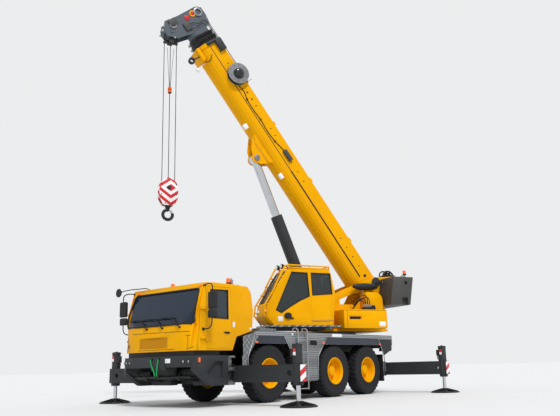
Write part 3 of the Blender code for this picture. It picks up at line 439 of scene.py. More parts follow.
def plate(outline, plane, low, high, radius=0.0, segments=2):
    # flat outline in the named plane, extruded from low to high along the third axis
    spots = {"xz": lambda a, b: (a, low, b), "yz": lambda a, b: (low, a, b), "xy": lambda a, b: (a, b, low)}
    along = {"xz": (0, high - low, 0), "yz": (high - low, 0, 0), "xy": (0, 0, high - low)}
    clear()
    bpy.ops.mesh.primitive_circle_add(vertices=len(outline), fill_type="NGON")
    piece = settle(bpy.context.active_object)
    for vertex, (a, b) in zip(piece.data.vertices, outline):
        vertex.co = spots[plane](a, b)
    bpy.ops.object.mode_set(mode="EDIT")
    bpy.ops.mesh.select_all(action="SELECT")
    bpy.ops.mesh.extrude_region_move(TRANSFORM_OT_translate={"value": along[plane]})
    bpy.ops.mesh.select_all(action="SELECT")
    bpy.ops.mesh.normals_make_consistent(inside=False)
    bpy.ops.object.mode_set(mode="OBJECT")
    return soften(piece, radius, segments) if radius else piece


def lathe(profile, centre=(0, 0, 0), axis="y", steps=48, smooth=38):
    # closed profile of (radius, height) points spun about the axis through centre
    turns = {"y": Matrix.Rotation(rad(-90), 4, "X"), "x": Matrix.Rotation(rad(90), 4, "Y"), "z": Matrix()}
    clear()
    bpy.ops.mesh.primitive_circle_add(vertices=len(profile), fill_type="NOTHING")
    piece = settle(bpy.context.active_object)
    for vertex, (radius, height) in zip(piece.data.vertices, profile):
        vertex.co = (radius, 0, height)
    bpy.ops.object.mode_set(mode="EDIT")
    bpy.ops.mesh.select_all(action="SELECT")
    bpy.ops.mesh.spin(steps=steps, angle=rad(360), center=(0, 0, 0), axis=(0, 0, 1))
    bpy.ops.mesh.select_all(action="SELECT")
    bpy.ops.mesh.remove_doubles(threshold=0.0001)
    bpy.ops.mesh.delete_loose()
    bpy.ops.mesh.select_all(action="SELECT")
    bpy.ops.mesh.normals_make_consistent(inside=False)
    bpy.ops.object.mode_set(mode="OBJECT")
    bpy.ops.object.shade_smooth_by_angle(angle=rad(smooth))
    return settle(piece, Matrix.Translation(centre) @ turns[axis])


def hose(points, radius, bent=True, loop=False):
    # tube along the points: a smooth hose, or straight runs if it isn't bent
    clear()
    bpy.ops.curve.primitive_bezier_curve_add()
    piece = bpy.context.active_object
    curve = piece.data
    curve.splines.clear()
    spline = curve.splines.new("BEZIER" if bent else "POLY")
    spots = spline.bezier_points if bent else spline.points
    spots.add(len(points) - 1)
    for spot, point in zip(spots, points):
        spot.co = point if bent else (*point, 1)
        if bent:
            spot.handle_left_type = spot.handle_right_type = "AUTO"
    spline.use_cyclic_u = loop
    curve.resolution_u = 6
    curve.bevel_depth = radius
    curve.bevel_resolution = 3
    curve.use_fill_caps = True
    bpy.ops.object.convert(target="MESH")
    piece = bpy.context.active_object
    bpy.ops.object.shade_smooth_by_angle(angle=rad(50))
    return settle(merged(piece, clean=False))


def together(pieces):
    pick(*pieces)
    bpy.ops.object.join()
    return bpy.context.active_object


def fromMesh(name, mesh):
    piece = bpy.data.objects.new(name, mesh)
    scene.collection.objects.link(piece)
    return piece


def turnedCopies(piece, turns):
    # one copy with its own mesh for each matrix, joined; the first shape is used up
    copies = []
    for turn in turns:
        mesh = piece.data.copy()
        mesh.transform(turn)
        copies.append(fromMesh("copy", mesh))
    bpy.data.objects.remove(piece)
    return together(copies)


def around(axis, count, start=0.0):
    return [Matrix.Rotation(rad(start) + math.tau * i / count, 4, axis) for i in range(count)]


def acrossY(piece):
    # a second shape on the other side of the machine, joined to the first
    mesh = piece.data.copy()
    mesh.transform(Matrix.Diagonal((1, -1, 1, 1)))
    mesh.flip_normals()
    return together([piece, fromMesh("twin", mesh)])


# the frame in which each body's pieces are measured, unless a piece gives its own
frames = {"carrier": carrierFrame}
frames.update({body: superFrame for body in ("superstructure", "hoist_falls", "hook_block", "hook")})
frames.update({body: boomFrame for body in ("boom_base", "boom_2", "boom_3", "boom_head")})


def add(name, finish, body, pieces, where=None, replaced=()):
    # joins the shapes of one finish, puts them into their frame and hands them over
    piece = together(pieces) if len(pieces) > 1 else pieces[0]
    return handOver(settle(piece, where or frames[body]), name, finish, body, replaced)


def copyOf(node):
    # the CAD node's mesh with its loose triangles joined
    return merged(fromMesh(node + "Skin", nodes[node].data.copy()))


# The carrier cab's front: x of the plain solid at (y, z), and of the leaning screen with its squarer corners
frontLook = {
    "solid": ((0.0, 5.27), (0.80, 5.24), (1.06, 5.18), (1.20, 5.06), (1.25, 4.90)),
    "real": ((0.0, 5.27), (0.80, 5.235), (1.06, 5.175), (1.20, 5.12), (1.25, 5.05)),
    "nose": 5.265, "foot": 1.60, "slope": 0.1683, "leanFrom": 1.78, "lean": 0.20,
    "postX": 4.897, "roofX": 4.20, "roofRun": 0.70, "roofZ": 2.64,
}
# the bumper's corners, on its solid and on the real one
bumperLook = {"solid": ((0.0, 5.27), (0.75, 5.24), (1.12, 5.14), (1.27, 4.98)),
              "real": ((0.0, 5.27), (0.75, 5.25), (1.12, 5.20), (1.27, 5.13)), "cornerX": 4.90}


def planFront(edge, y):
    y = min(abs(y), 1.2499)
    return next(x0 + (x1 - x0) * (y - y0) / (y1 - y0) for (y0, x0), (y1, x1) in zip(edge, edge[1:])
                if y0 <= y < y1)


def plainSlope(z):
    return frontLook["nose"] - max(z - frontLook["foot"], 0) * frontLook["slope"]


def solidFront(y, z):
    return min(planFront(frontLook["solid"], y), plainSlope(z))


def front(y, z):
    slope = plainSlope(z) - max(z - frontLook["leanFrom"], 0) * frontLook["lean"]
    return min(planFront(frontLook["real"], y), slope)


def leanBack(piece):
    # everything ahead of the doors follows the leaning front; the roof behind it follows in part
    for vertex in piece.data.vertices:
        spot = vertex.co
        x = spot.x - place["axleTwoX"]
        share = 0.0
        if x > frontLook["postX"]:
            share = 1.0
        elif spot.z > frontLook["roofZ"] and abs(spot.y) < 1.205:
            share = max((x - frontLook["roofX"]) / frontLook["roofRun"], 0.0)
        if share:
            spot.x += share * (front(spot.y, spot.z) - solidFront(spot.y, spot.z))
            if abs(spot.y) < 1.14:
                spot.y *= 1 + 0.035 * min(max((spot.z - 1.80) / 0.78, 0.0), 1.0)
    return piece


def squareCorners(piece):
    # the bumper's corners reach further forward than on its solid
    for vertex in piece.data.vertices:
        spot = vertex.co
        ahead = min((spot.x - place["axleTwoX"] - bumperLook["cornerX"]) / 0.08, 1.0)
        if ahead > 0:
            spot.x += ahead * (planFront(bumperLook["real"], spot.y) - planFront(bumperLook["solid"], spot.y))


def carve(piece, cutter):
    # takes the cutter's room out of the piece
    modifier = piece.modifiers.new("Cut", "BOOLEAN")
    modifier.operation = "DIFFERENCE"
    modifier.solver = "EXACT"
    modifier.object = cutter
    applyModifiers(piece)
    bpy.data.objects.remove(cutter)


# CAD solids whose edges get the radius of folded and welded plate: node, radius, least length, finish, body
edged = [
    ("carrier_cab_shell", 0.035, 0.12, "yellowTopcoat", "carrier"),
    ("carrier_cab_door_left", 0.008, 0, "yellowTopcoat", "cab_door_left"),
    ("carrier_cab_door_right", 0.008, 0, "yellowTopcoat", "cab_door_right"),
    ("front_bumper", 0.016, 0.12, "greyChassisEnamel", "carrier"),
    ("crane_cab_shell", 0.020, 0.12, "yellowTopcoat", "superstructure"),
    ("crane_cab_door", 0.006, 0, "yellowTopcoat", "superstructure"),
    ("side_cabinet_left", 0.016, 0, "yellowTopcoat", "superstructure"),
    ("side_cabinet_right", 0.016, 0, "yellowTopcoat", "superstructure"),
    ("counterweight", 0.030, 0.2, "counterweightGrey", "superstructure"),
    ("turntable", 0.008, 0, "yellowTopcoat", "superstructure"),
    ("carrier_cab_windscreen", 0, 0, "tintedGlass", "carrier"),
]
leaning = ("carrier_cab_shell", "carrier_cab_windscreen")
doorWindow = [(1.22, 2.79), (1.245, 3.425), (0.63, 3.42), (0.58, 2.84)]
hollows = {
    # room for the grille, and the open space under the bumper's band between its cheeks
    "carrier_cab_shell": settle(block((5.240, -0.57, 1.29), (5.40, 0.41, 1.53)), carrierFrame),
    "front_bumper": settle(block((4.45, -1.12, 0.30), (5.60, 1.12, 0.87)), carrierFrame),
}
for node in ("crane_cab_door", "crane_cab_shell"):
    hollows[node] = settle(plate(doorWindow, "xz", 1.10, 1.30), superFrame)
for node, radius, least, finish, body in edged:
    skin = leanBack(copyOf(node)) if node in leaning else copyOf(node)
    if node in hollows:
        carve(skin, hollows[node])
    if node == "front_bumper":
        squareCorners(skin)
    if radius:
        soften(skin, radius, 3 if radius > 0.025 else 2, least=least)
    handOver(skin, node + "Skin", finish, body, [node])
print("edged skins:", len(edged))

# CAD solids that stay as they are and get their real finish
kept = {
    "chassis_frame": "blackEnamel", "deck": "treadplate", "carrier_cab_interior": "blackAbs",
    "engine_block": "greasedSteel", "ladder": "galvanisedSteel", "slew_ring": "greasedSteel",
    "cab_walkway": "treadplate", "hoist_winch": "blackEnamel", "crane_cab_seat": "seatVinyl",
    "boom_base_section": "yellowTopcoat", "boom_section_2": "blackEnamel", "boom_section_3": "blackEnamel",
    "boom_head_section": "slateEnamel", "cable_reel": "greyAbs", "hoist_rope": "greasedSteel",
    "lift_cylinder_barrel": "greyChassisEnamel", "lift_cylinder_rod": "hardChrome",
    "hook_block": "redEnamel", "hook": "blackEnamel",
}
for number in (1, 2, 3):
    kept[f"axle_{number}"] = "greyChassisEnamel"
    for side in ("left", "right"):
        kept[f"knuckle_{number}_{side}"] = "greasedSteel"
        kept[f"wheel_{number}_{side}"] = "tyreRubber"
for corner in ("front_left", "front_right", "rear_left", "rear_right"):
    kept[f"outrigger_beam_{corner}"] = "greyChassisEnamel"
    kept[f"outrigger_leg_{corner}"] = "machinedSteel"
for node, finish in kept.items():
    nodes[node].data.materials.clear()
    nodes[node].data.materials.append(materials[finish])

# Wheels: radial crane tyres with open shoulder lugs on deep-dish rims
wheelLook = {"axles": (2.725, 0.0, -1.65), "radius": 0.685, "middleY": 1.055, "lugs": 34, "nuts": 12}


def makeTyre():
    # sidewall and tread base, with two rows of slanted lugs up to the CAD tyre's radius
    tyre = lathe([(0.350, 0.165), (0.368, 0.186), (0.40, 0.192), (0.41, 0.188), (0.50, 0.1945),
                  (0.575, 0.192), (0.585, 0.1945), (0.600, 0.190), (0.640, 0.176), (0.664, 0.155),
                  (0.668, 0.13), (0.668, -0.13), (0.664, -0.155), (0.640, -0.176), (0.575, -0.192),
                  (0.50, -0.1945), (0.40, -0.192), (0.368, -0.186), (0.350, -0.165)], steps=72)
    lug = plate([(0.018, 0.660), (0.018, 0.684), (0.146, 0.684), (0.170, 0.672), (0.184, 0.640),
                 (0.176, 0.630), (0.150, 0.655)], "yz", -0.026, 0.026, 0.003, 1)
    for vertex in lug.data.vertices:
        vertex.co.x += (vertex.co.y - 0.1) * 0.35
    far = fromMesh("farLug", lug.data.copy())
    far.data.transform(Matrix.Rotation(rad(180), 4, "Z"))
    count = wheelLook["lugs"]
    near = turnedCopies(lug, around("Y", count))
    far = turnedCopies(far, around("Y", count, 180 / count))
    return together([tyre, near, far])


def makeRim():
    # rolled lip, two-step barrel and a thick disc standing behind a planetary hub
    rim = lathe([(0.356, 0.165), (0.357, 0.180), (0.350, 0.190), (0.338, 0.190), (0.331, 0.180),
                 (0.327, 0.150), (0.313, 0.135), (0.309, 0.060), (0.300, 0.050), (0.296, 0.0),
                 (0.270, -0.024), (0.235, -0.026), (0.165, -0.020), (0.160, 0.012), (0.140, 0.018),
                 (0.132, 0.070), (0.118, 0.084), (0.060, 0.090), (0.0, 0.092), (0.0, 0.030), (0.090, 0.030),
                 (0.090, -0.058), (0.280, -0.058), (0.312, -0.040), (0.318, -0.165), (0.352, -0.180),
                 (0.356, -0.165)], steps=64)
    nuts = turnedCopies(bar((0.198, -0.03, 0), (0.198, 0.004, 0), 0.017, 6), around("Y", wheelLook["nuts"]))
    studs = turnedCopies(bar((0.198, 0.0, 0), (0.198, 0.014, 0), 0.008, 8), around("Y", wheelLook["nuts"]))
    caps = turnedCopies(bar((0.108, 0.06, 0), (0.108, 0.093, 0), 0.010, 6), around("Y", 8, 15))
    return together([rim, nuts, studs, caps])


tyre, rim = makeTyre(), makeRim()
drum = lathe([(0.0, -0.19), (0.24, -0.19), (0.27, -0.17), (0.27, -0.10), (0.25, -0.075), (0.11, -0.072),
              (0.11, -0.08), (0.0, -0.08)], steps=32)
# shape, name and finish of what each wheel is made of
wheelPieces = ((tyre, "tyre", "tyreRubber"), (rim, "rim", "yellowTopcoat"),
               (drum, "brakeDrum", "greasedSteel"))
for number, axleX in enumerate(wheelLook["axles"], 1):
    for sideName, side in (("left", 1), ("right", -1)):
        spot = carrierFrame @ Matrix.Translation((axleX, side * wheelLook["middleY"], wheelLook["radius"]))
        spot = spot @ Matrix.Rotation(rad(0 if side > 0 else 180), 4, "Z")
        body = f"wheel_{number}_{sideName}"
        for source, kind, finish in wheelPieces:
            piece = fromMesh(kind, source.data.copy())
            carrying = f"knuckle_{number}_{sideName}" if kind == "brakeDrum" else body
            replaced = [body] if kind == "tyre" else ()
            handOver(settle(piece, spot), f"{kind}_{number}_{sideName}", finish, carrying, replaced)
for source in (tyre, rim, drum):
    bpy.data.objects.remove(source)
print("wheels dressed")

# Outriggers: striped tips, sockets with bands, chromed legs on ribbed pads
outriggerLook = {
    # each corner's x and side
    "front_left": (3.85, 1), "front_right": (4.09, -1), "rear_left": (-2.92, 1), "rear_right": (-2.68, -1),
    "legY": 2.98, "tipY": 3.12, "low": 0.51, "high": 0.88, "halfWidth": 0.10,
}


def makePad():
    plateShape = lathe([(0.0, 0.0), (0.40, 0.0), (0.40, 0.020), (0.388, 0.032), (0.15, 0.046), (0.14, 0.060),
                        (0.095, 0.100), (0.078, 0.112), (0.0, 0.112)], axis="z", steps=40)
    rib = plate([(0.08, 0.040), (0.372, 0.026), (0.372, 0.046), (0.17, 0.100), (0.10, 0.118),
                 (0.08, 0.118)], "xz", -0.008, 0.008, 0.002, 1)
    ring = lathe([(0.052, 0.110), (0.085, 0.110), (0.085, 0.120), (0.052, 0.126)], axis="z", steps=24)
    clips = [block((x - 0.02, -0.03, 0.08), (x + 0.02, 0.03, 0.120), 0.004) for x in (-0.115, 0.115)]
    return together([plateShape, turnedCopies(rib, around("Z", 12)), ring] + clips)


for corner in ("front_left", "front_right", "rear_left", "rear_right"):
    x, side = outriggerLook[corner]
    tip, low, high, half = (outriggerLook[key] for key in ("tipY", "low", "high", "halfWidth"))
    spot = carrierFrame @ Matrix.Translation((x, side * outriggerLook["legY"], 0))
    spot = spot @ Matrix.Diagonal((1, side, 1, 1))
    leg, beam = f"leg_{corner}", f"beam_{corner}"
    add(f"pad_{corner}", "blackEnamel", leg, [makePad()], Matrix.Translation(spot.translation))
    rod = lathe([(0.0, 0.10), (0.048, 0.10), (0.048, 0.86), (0.0, 0.86)], axis="z", steps=32)
    add(f"jackRod_{corner}", "hardChrome", leg, [rod], Matrix.Translation(spot.translation),
        [f"outrigger_leg_{corner}"])
    stripes = [block((-half + 0.004, tip - 0.001, low + 0.01), (half - 0.004, tip + 0.003, high - 0.01))]
    shift = Matrix.Translation((0, -outriggerLook["legY"], 0))
    add(f"tipStripes_{corner}", "redWhiteStripes", beam, stripes, spot @ shift)
    bands = [lathe([(0.109, z), (0.116, z), (0.116, z + h), (0.109, z + h)], axis="z", steps=28)
             for z, h in ((1.262, 0.034), (0.885, 0.03), (0.475, 0.035))]
    cap = lathe([(0.0, 1.298), (0.085, 1.298), (0.085, 1.306), (0.03, 1.309), (0.03, 1.322), (0.0, 1.324)],
                axis="z", steps=20)
    valve = block((-0.055, -0.165, 1.03), (0.055, -0.105, 1.20), 0.008)
    add(f"socketBands_{corner}", "greyChassisEnamel", beam, bands + [cap, valve], spot)
    lines = [hose([(dx, -0.138, 1.035), (dx, -0.148, 0.99), (dx, -0.136, 0.94), (dx, -0.104, 0.905)], 0.009)
             for dx in (-0.03, 0.03)]
    add(f"jackHoses_{corner}", "hoseRubber", beam, lines, spot)
    # the red reflectors glow faintly through their lens material: painted light
    for name, finish, z in (("reflector", "redLens", 1.13), ("reflectorBase", "whiteEnamel", 1.06)):
        tile = block((half + 0.004, -0.035, z), (half + 0.014, 0.035, z + 0.07), 0.003)
        add(f"{name}_{corner}", finish, beam, [tile], spot)
print("outriggers dressed")

# Carrier cab, measured from axle 2
cabLook = {
    # windows as (y, z) and (x, z); each wiper's foot and the end of its blade
    "seal": 0.021,
    "screen": ((-1.10, 1.80), (1.10, 1.80), (1.16, 1.86), (1.118, 2.52), (1.06, 2.58), (-1.06, 2.58),
               (-1.118, 2.52), (-1.16, 1.86)),
    "wipers": ((-0.31, -1.09), (0.23, -0.54), (0.80, 0.02)),
    "sideWindow": ((4.18, 1.93), (4.80, 1.94), (4.73, 2.55), (4.19, 2.57)),
}


def onFront(points, out=0.0, steps=6):
    # closed run over the cab's front through the (y, z) points
    ends = list(points[1:]) + [points[0]]
    run = [(a[0] + (b[0] - a[0]) * i / steps, a[1] + (b[1] - a[1]) * i / steps)
           for a, b in zip(points, ends) for i in range(steps)]
    return [(front(y, z) + out, y, z) for y, z in run]


seal = hose(onFront(cabLook["screen"], 0.003), cabLook["seal"], bent=False, loop=True)
add("windscreenSeal", "hoseRubber", "carrier", [seal])
wipers = []
for foot, bladeEnd in cabLook["wipers"]:
    middle = (foot + bladeEnd) / 2 - 0.02
    rest = front(foot, 1.73)
    wipers.append(bar((rest - 0.01, foot, 1.73), (rest + 0.035, foot, 1.735), 0.024, 16, 0.018))
    wipers.append(hose([(front(foot, 1.735) + 0.03, foot, 1.735),
                        (front(foot, 1.8) + 0.035, foot - 0.09, 1.80),
                        (front(foot, 1.9) + 0.035, foot - 0.22, 1.90),
                        (front(middle, 1.95) + 0.03, middle, 1.955)], 0.013))
    blade = [(front(y, 1.955) + 0.016, y, 1.95 + 0.015 * math.sin((y - bladeEnd) / 0.55 * math.pi))
             for y in (bladeEnd, bladeEnd + 0.14, bladeEnd + 0.28, bladeEnd + 0.42, bladeEnd + 0.55)]
    wipers.append(hose(blade, 0.012))
    wipers.append(hose([(x + 0.02, y, z + 0.004) for x, y, z in blade[1:4]], 0.011))
add("windscreenWipers", "blackAbs", "carrier", wipers)
# joints between the front's panels: runs of (y, z)
seamRuns = (
    ((-1.20, 1.645), (-0.8, 1.645), (-0.4, 1.642), (0.0, 1.64), (0.4, 1.637), (0.8, 1.633), (1.06, 1.63)),
    ((0.96, 1.55), (1.0, 1.545), (1.08, 1.545)),
    ((-1.12, 1.60), (-1.12, 1.50), (-1.12, 1.40), (-1.12, 1.27)),
    ((1.01, 1.56), (1.01, 1.45), (1.01, 1.35), (1.01, 1.26)),
    ((-1.12, 1.262), (-0.6, 1.262), (0.0, 1.262), (0.6, 1.262), (1.02, 1.262), (1.14, 1.30)),
)
seams = [hose([(front(y, z) + 0.001, y, z) for y, z in run], 0.0045, bent=False) for run in seamRuns]
add("cabFrontSeams", "shadowGap", "carrier", seams)
vent = [block((front(-0.98, 1.36) - 0.004, -1.08, z), (front(-1.08, 1.36) + 0.006, -0.90, z + 0.010), 0.002)
        for z in (1.330, 1.350, 1.370, 1.390)]
screws = [bar((front(y, 1.66) - 0.004, y, z), (front(y, 1.66) + 0.008, y, z), 0.012, 12, 0.009)
          for y, z in ((-0.72, 1.685), (-0.42, 1.70), (0.56, 1.685))]
add("cabVent", "blackAbs", "carrier", vent)
add("cabScrews", "galvanisedSteel", "carrier", screws)
markers = [block((front(y, 2.62) - 0.02, y - 0.045, 2.615), (front(y, 2.62) + 0.022, y + 0.045, 2.655),
                 0.010, 3) for y in (-1.02, 1.12)]
markers += [block((5.065, 1.262, 0.965), (5.115, 1.285, 1.065), 0.008)]
add("amberMarkers", "amberLens", "carrier", markers)


def makeBeacon(spot, name, body):
    # rotating beacon: black foot, ribbed amber dome
    foot = lathe([(0.0, 0.0), (0.062, 0.0), (0.062, 0.018), (0.052, 0.032), (0.050, 0.046), (0.0, 0.046)],
                 spot, "z", 28)
    dome = lathe([(0.0, 0.046), (0.052, 0.046), (0.054, 0.10), (0.050, 0.128), (0.034, 0.150),
                  (0.0, 0.158)], spot, "z", 28)
    add(name + "Foot", "blackAbs", body, [foot])
    add(name + "Dome", "amberLens", body, [dome])


raised = plate([(3.54, 2.690), (3.66, 2.750), (4.56, 2.750), (4.76, 2.690)], "xz", 0.02, 1.19)
for vertex in raised.data.vertices:
    if vertex.co.z > 2.74:
        vertex.co.y = 0.10 if vertex.co.y < 0.5 else 1.12
        vertex.co.z -= 0.008 if vertex.co.y < 0.5 else 0.0
add("cabRoofRaise", "yellowTopcoat", "carrier", [soften(raised, 0.012, 3)])
add("cabFloorPan", "blackEnamel", "carrier", [block((4.32, -1.12, 1.112), (5.12, 1.12, 1.222))])
# the grille is a flat plate; the dark in its meshes is painted shade
add("cabGrille", "grillePaintedShade", "carrier", [block((5.236, -0.565, 1.295), (5.246, 0.405, 1.525))])
makeBeacon((4.442, -0.36, 2.708), "frontBeacon", "carrier")
makeBeacon((3.93, 1.02, 2.752), "rearBeacon", "carrier")
bracket = [block((3.80, 0.98, 2.745), (3.86, 1.06, 2.87), 0.006),
           bar((3.83, 1.02, 2.86), (3.83, 1.02, 2.91), 0.018)]
add("beaconBracket", "galvanisedSteel", "carrier", bracket)
for side, sideName in ((1, "left"), (-1, "right")):
    flip = Matrix.Diagonal((1, side, 1, 1))
    window = cabLook["sideWindow"]
    frameRun = [(x, 1.246, z) for x, z in window]
    door = f"cab_door_{sideName}"
    inner = [(x + (0.012 if x < 4.4 else -0.012), z + (0.012 if z < 2.2 else -0.012)) for x, z in window]
    sealPiece = hose(frameRun, 0.022, bent=False, loop=True)
    add(f"doorWindowSeal_{sideName}", "hoseRubber", door, [sealPiece], carrierFrame @ flip)
    pane = plate(inner, "xz", 1.232, 1.240)
    add(f"doorGlass_{sideName}", "cabGlass", door, [pane], carrierFrame @ flip)
    handle = [block((4.13, 1.250, 1.590), (4.29, 1.262, 1.635), 0.006),
              block((4.14, 1.262, 1.605), (4.27, 1.283, 1.625), 0.007)]
    lock = bar((4.31, 1.246, 1.612), (4.31, 1.258, 1.612), 0.013)
    add(f"doorHandle_{sideName}", "blackAbs", door, handle + [lock], carrierFrame @ flip)
    lowArm = [(4.965, 1.225, 1.675), (4.97, 1.30, 1.672), (4.98, 1.46, 1.69), (4.985, 1.53, 1.75),
              (4.985, 1.555, 1.92)]
    highArm = [(4.90, 1.22, 2.640), (4.92, 1.30, 2.655), (4.97, 1.48, 2.65), (4.985, 1.55, 2.61),
               (4.985, 1.56, 2.45)]
    arms = [hose(lowArm, 0.013), hose(highArm, 0.013),
            block((4.935, 1.20, 1.645), (4.995, 1.285, 1.705), 0.010),
            block((4.88, 1.20, 2.625), (4.93, 1.265, 2.66), 0.008)]
    housings = [block((4.93, 1.435, 2.10), (5.015, 1.690, 2.475), 0.034, 4),
                block((4.93, 1.430, 1.905), (5.015, 1.675, 2.08), 0.034, 4)]
    glasses = [block((4.925, 1.46, 2.13), (4.933, 1.665, 2.445), 0.003),
               block((4.925, 1.455, 1.93), (4.933, 1.65, 2.055), 0.003)]
    add(f"mirrorArms_{sideName}", "blackEnamel", "carrier", arms, carrierFrame @ flip)
    add(f"mirrorHousings_{sideName}", "blackAbs", "carrier", housings, carrierFrame @ flip)
    add(f"mirrorGlass_{sideName}", "mirrorGlass", "carrier", glasses, carrierFrame @ flip)
armRun = [(4.84, -0.72, 2.70), (4.88, -0.76, 2.735), (4.98, -1.0, 2.745), (5.10, -1.25, 2.73),
          (5.17, -1.40, 2.70)]
roundArm = [hose(armRun, 0.011), bar((5.17, -1.40, 2.70), (5.175, -1.47, 2.69), 0.018)]
roundShell = lathe([(0.0, -0.025), (0.09, -0.018), (0.105, 0.0), (0.105, 0.012), (0.0, 0.012)],
                   (5.18, -1.50, 2.68), "x", 28)
add("kerbMirror", "blackAbs", "carrier", roundArm + [roundShell])
add("cornerLamp", "clearLens", "carrier", [acrossY(bar((3.43, 1.243, 1.72), (3.43, 1.262, 1.72), 0.030, 20))])
add("cabBlankPlate", "whiteEnamel", "carrier", [block((3.955, 1.2505, 1.74), (4.025, 1.2535, 1.86), 0.001)])
print("carrier cab dressed")

# Front bumper
# the lamps' y, z and radius
lampSpots = [(-1.20, 0.99, 0.026), (-1.08, 0.99, 0.026), (-0.95, 0.99, 0.026), (0.91, 0.99, 0.034),
             (1.06, 0.99, 0.030)]
lamps = []
bezels = []
for y, z, radius in lampSpots:
    x = planFront(bumperLook["real"], y)
    lamps.append(lathe([(0.0, -0.01), (radius, -0.01), (radius, 0.004), (radius * 0.6, 0.012),
                        (0.0, 0.014)], (x, y, z), "x", 20))
    bezels.append(lathe([(radius, -0.01), (radius + 0.010, -0.01), (radius + 0.010, 0.006),
                         (radius, 0.009)], (x, y, z), "x", 20))
add("bumperLamps", "smokedLens", "carrier", lamps)
add("bumperBezels", "blackAbs", "carrier", bezels)
straps = [hose([(5.286, y0, 1.06), (5.292, y0, 1.02), (5.288, (y0 + y1) / 2, 0.88), (5.27, y1, 0.72),
                (5.262, y1, 0.69)], 0.011) for y0, y1 in ((-0.093, -0.010), (0.139, 0.096))]
for strap in straps:
    middle = sum(vertex.co.y for vertex in strap.data.vertices) / len(strap.data.vertices)
    for vertex in strap.data.vertices:
        vertex.co.y += (vertex.co.y - middle) * 0.5
add("towStraps", "greenWebbing", "carrier", straps)
middleBlock = plate([(5.20, 1.092), (5.274, 1.092), (5.274, 0.90), (5.235, 0.81), (5.20, 0.81)], "xz",
                    -0.145, 0.355, 0.006)
add("bumperMiddle", "greyChassisEnamel", "carrier", [middleBlock])
hitch = [block((5.270, -0.16, 1.035), (5.296, -0.04, 1.085), 0.006),
         block((5.270, 0.08, 1.035), (5.296, 0.20, 1.085), 0.006),
         bar((5.10, 0.045, 0.68), (5.27, 0.045, 0.68), 0.025),
         block((5.235, -0.03, 0.655), (5.268, 0.12, 0.695), 0.010)]
add("towHitch", "blackEnamel", "carrier", hitch)
add("bumperBlankPlate", "whiteEnamel", "carrier", [block((5.262, 0.37, 0.965), (5.277, 0.53, 1.06), 0.002)])
# treads at the outer sheet, risers and treads inside: y and z from, y and z to
treads = (
    (1.262, 0.462, 1.2735, 0.552), (1.262, 0.768, 1.2735, 0.842), (1.262, 1.058, 1.2735, 1.10),
    (1.149, 0.552, 1.155, 0.768), (1.149, 0.842, 1.155, 1.058), (1.150, 0.549, 1.268, 0.554),
    (1.150, 0.839, 1.268, 0.844),
)
steps = [block((3.978, y0, z0), (4.196, y1, z1), 0.002) for y0, z0, y1, z1 in treads]
add("bumperSteps", "treadplate", "carrier", steps)
under = [bar((5.05, s * 0.55, 0.62), (4.50, s * 0.62, 0.58), 0.035, 16) for s in (-1, 1)]
under += [bar((5.02, -0.95, 0.66), (5.02, 0.95, 0.66), 0.030, 16),
          block((4.62, 0.50, 0.62), (4.90, 0.98, 0.84), 0.02),
          block((4.60, -1.00, 0.60), (4.95, -0.52, 0.80), 0.02),
          bar((5.02, 0.90, 0.66), (4.60, 1.08, 0.60), 0.022, 12),
          bar((5.02, -0.90, 0.66), (4.60, -1.08, 0.60), 0.022, 12)]
add("bumperUnderside", "blackEnamel", "carrier", under)
lines = [hose([(5.0, y, 0.80), (5.03, y * 0.9, 0.70), (4.96, y * 0.7, 0.63), (4.80, y * 0.6, 0.66)], 0.014)
         for y in (0.42, 0.62, -0.46, -0.7)]
add("bumperLines", "hoseRubber", "carrier", lines)
print("bumper dressed")

# Deck, mudguards and skirts
deckLook = {"sheet": 1.2703, "bandLow": 1.572, "guardLow": 1.39}
sheet = deckLook["sheet"]
panels = []
for front0, rear0, rear1, front1 in ((3.15, 2.20, 2.06, 3.27), (0.40, -2.22, -2.33, 0.57)):
    high, low = deckLook["bandLow"], deckLook["guardLow"]
    outline = [(front0, high), (rear0, high), (rear1, low), (front1, low)]
    panels.append(acrossY(plate(outline, "xz", 1.2705, 1.276, 0.002, 1)))
add("mudguardPanels", "navyPanelEnamel", "carrier", panels)
bandRuns = ((-3.02, -1.4), (-1.39, 0.24), (0.25, 1.28), (1.74, 3.27))
bands = [acrossY(block((x0, sheet, 1.576), (x1, 1.277, 1.676), 0.002)) for x0, x1 in bandRuns]
add("deckEdgeBands", "ribbedAluminium", "carrier", bands)
planks = []
for row in range(22):
    z = 0.478 + 0.05 * row
    start, end = 0.86 - max(z - 1.05, 0) * 0.82, 1.775 + max(z - 1.02, 0) * 0.70
    planks.append(acrossY(block((start, sheet, z), (end, 1.2845, z + 0.036), 0.005, 1)))
add("skirtPlanks", "ribbedAluminium", "carrier", planks)
# painted shade: a flat black plate over the rear corner sheet, where the corner is open and dark
corner = plate([(-2.27, 1.555), (-2.99, 1.555), (-2.99, 1.26), (-2.52, 1.08)], "xz", sheet, 1.2735)
add("rearCornerPaintedShade", "blackEnamel", "carrier", [acrossY(corner)])
slotLook = {"x": 1.01, "z": 1.418, "half": 0.09, "radius": 0.065}
slot = []
for turn in (-90, -60, -30, 0, 30, 60, 89, 91, 120, 150, 180, 210, 240, 269):
    end = slotLook["half"] if abs(turn) < 90 else -slotLook["half"]
    slot.append((slotLook["x"] + end + slotLook["radius"] * math.cos(rad(turn)),
                 slotLook["z"] + slotLook["radius"] * math.sin(rad(turn))))
add("skirtHandSlot", "shadowGap", "carrier", [acrossY(plate(slot, "xz", 1.2800, 1.2860))])
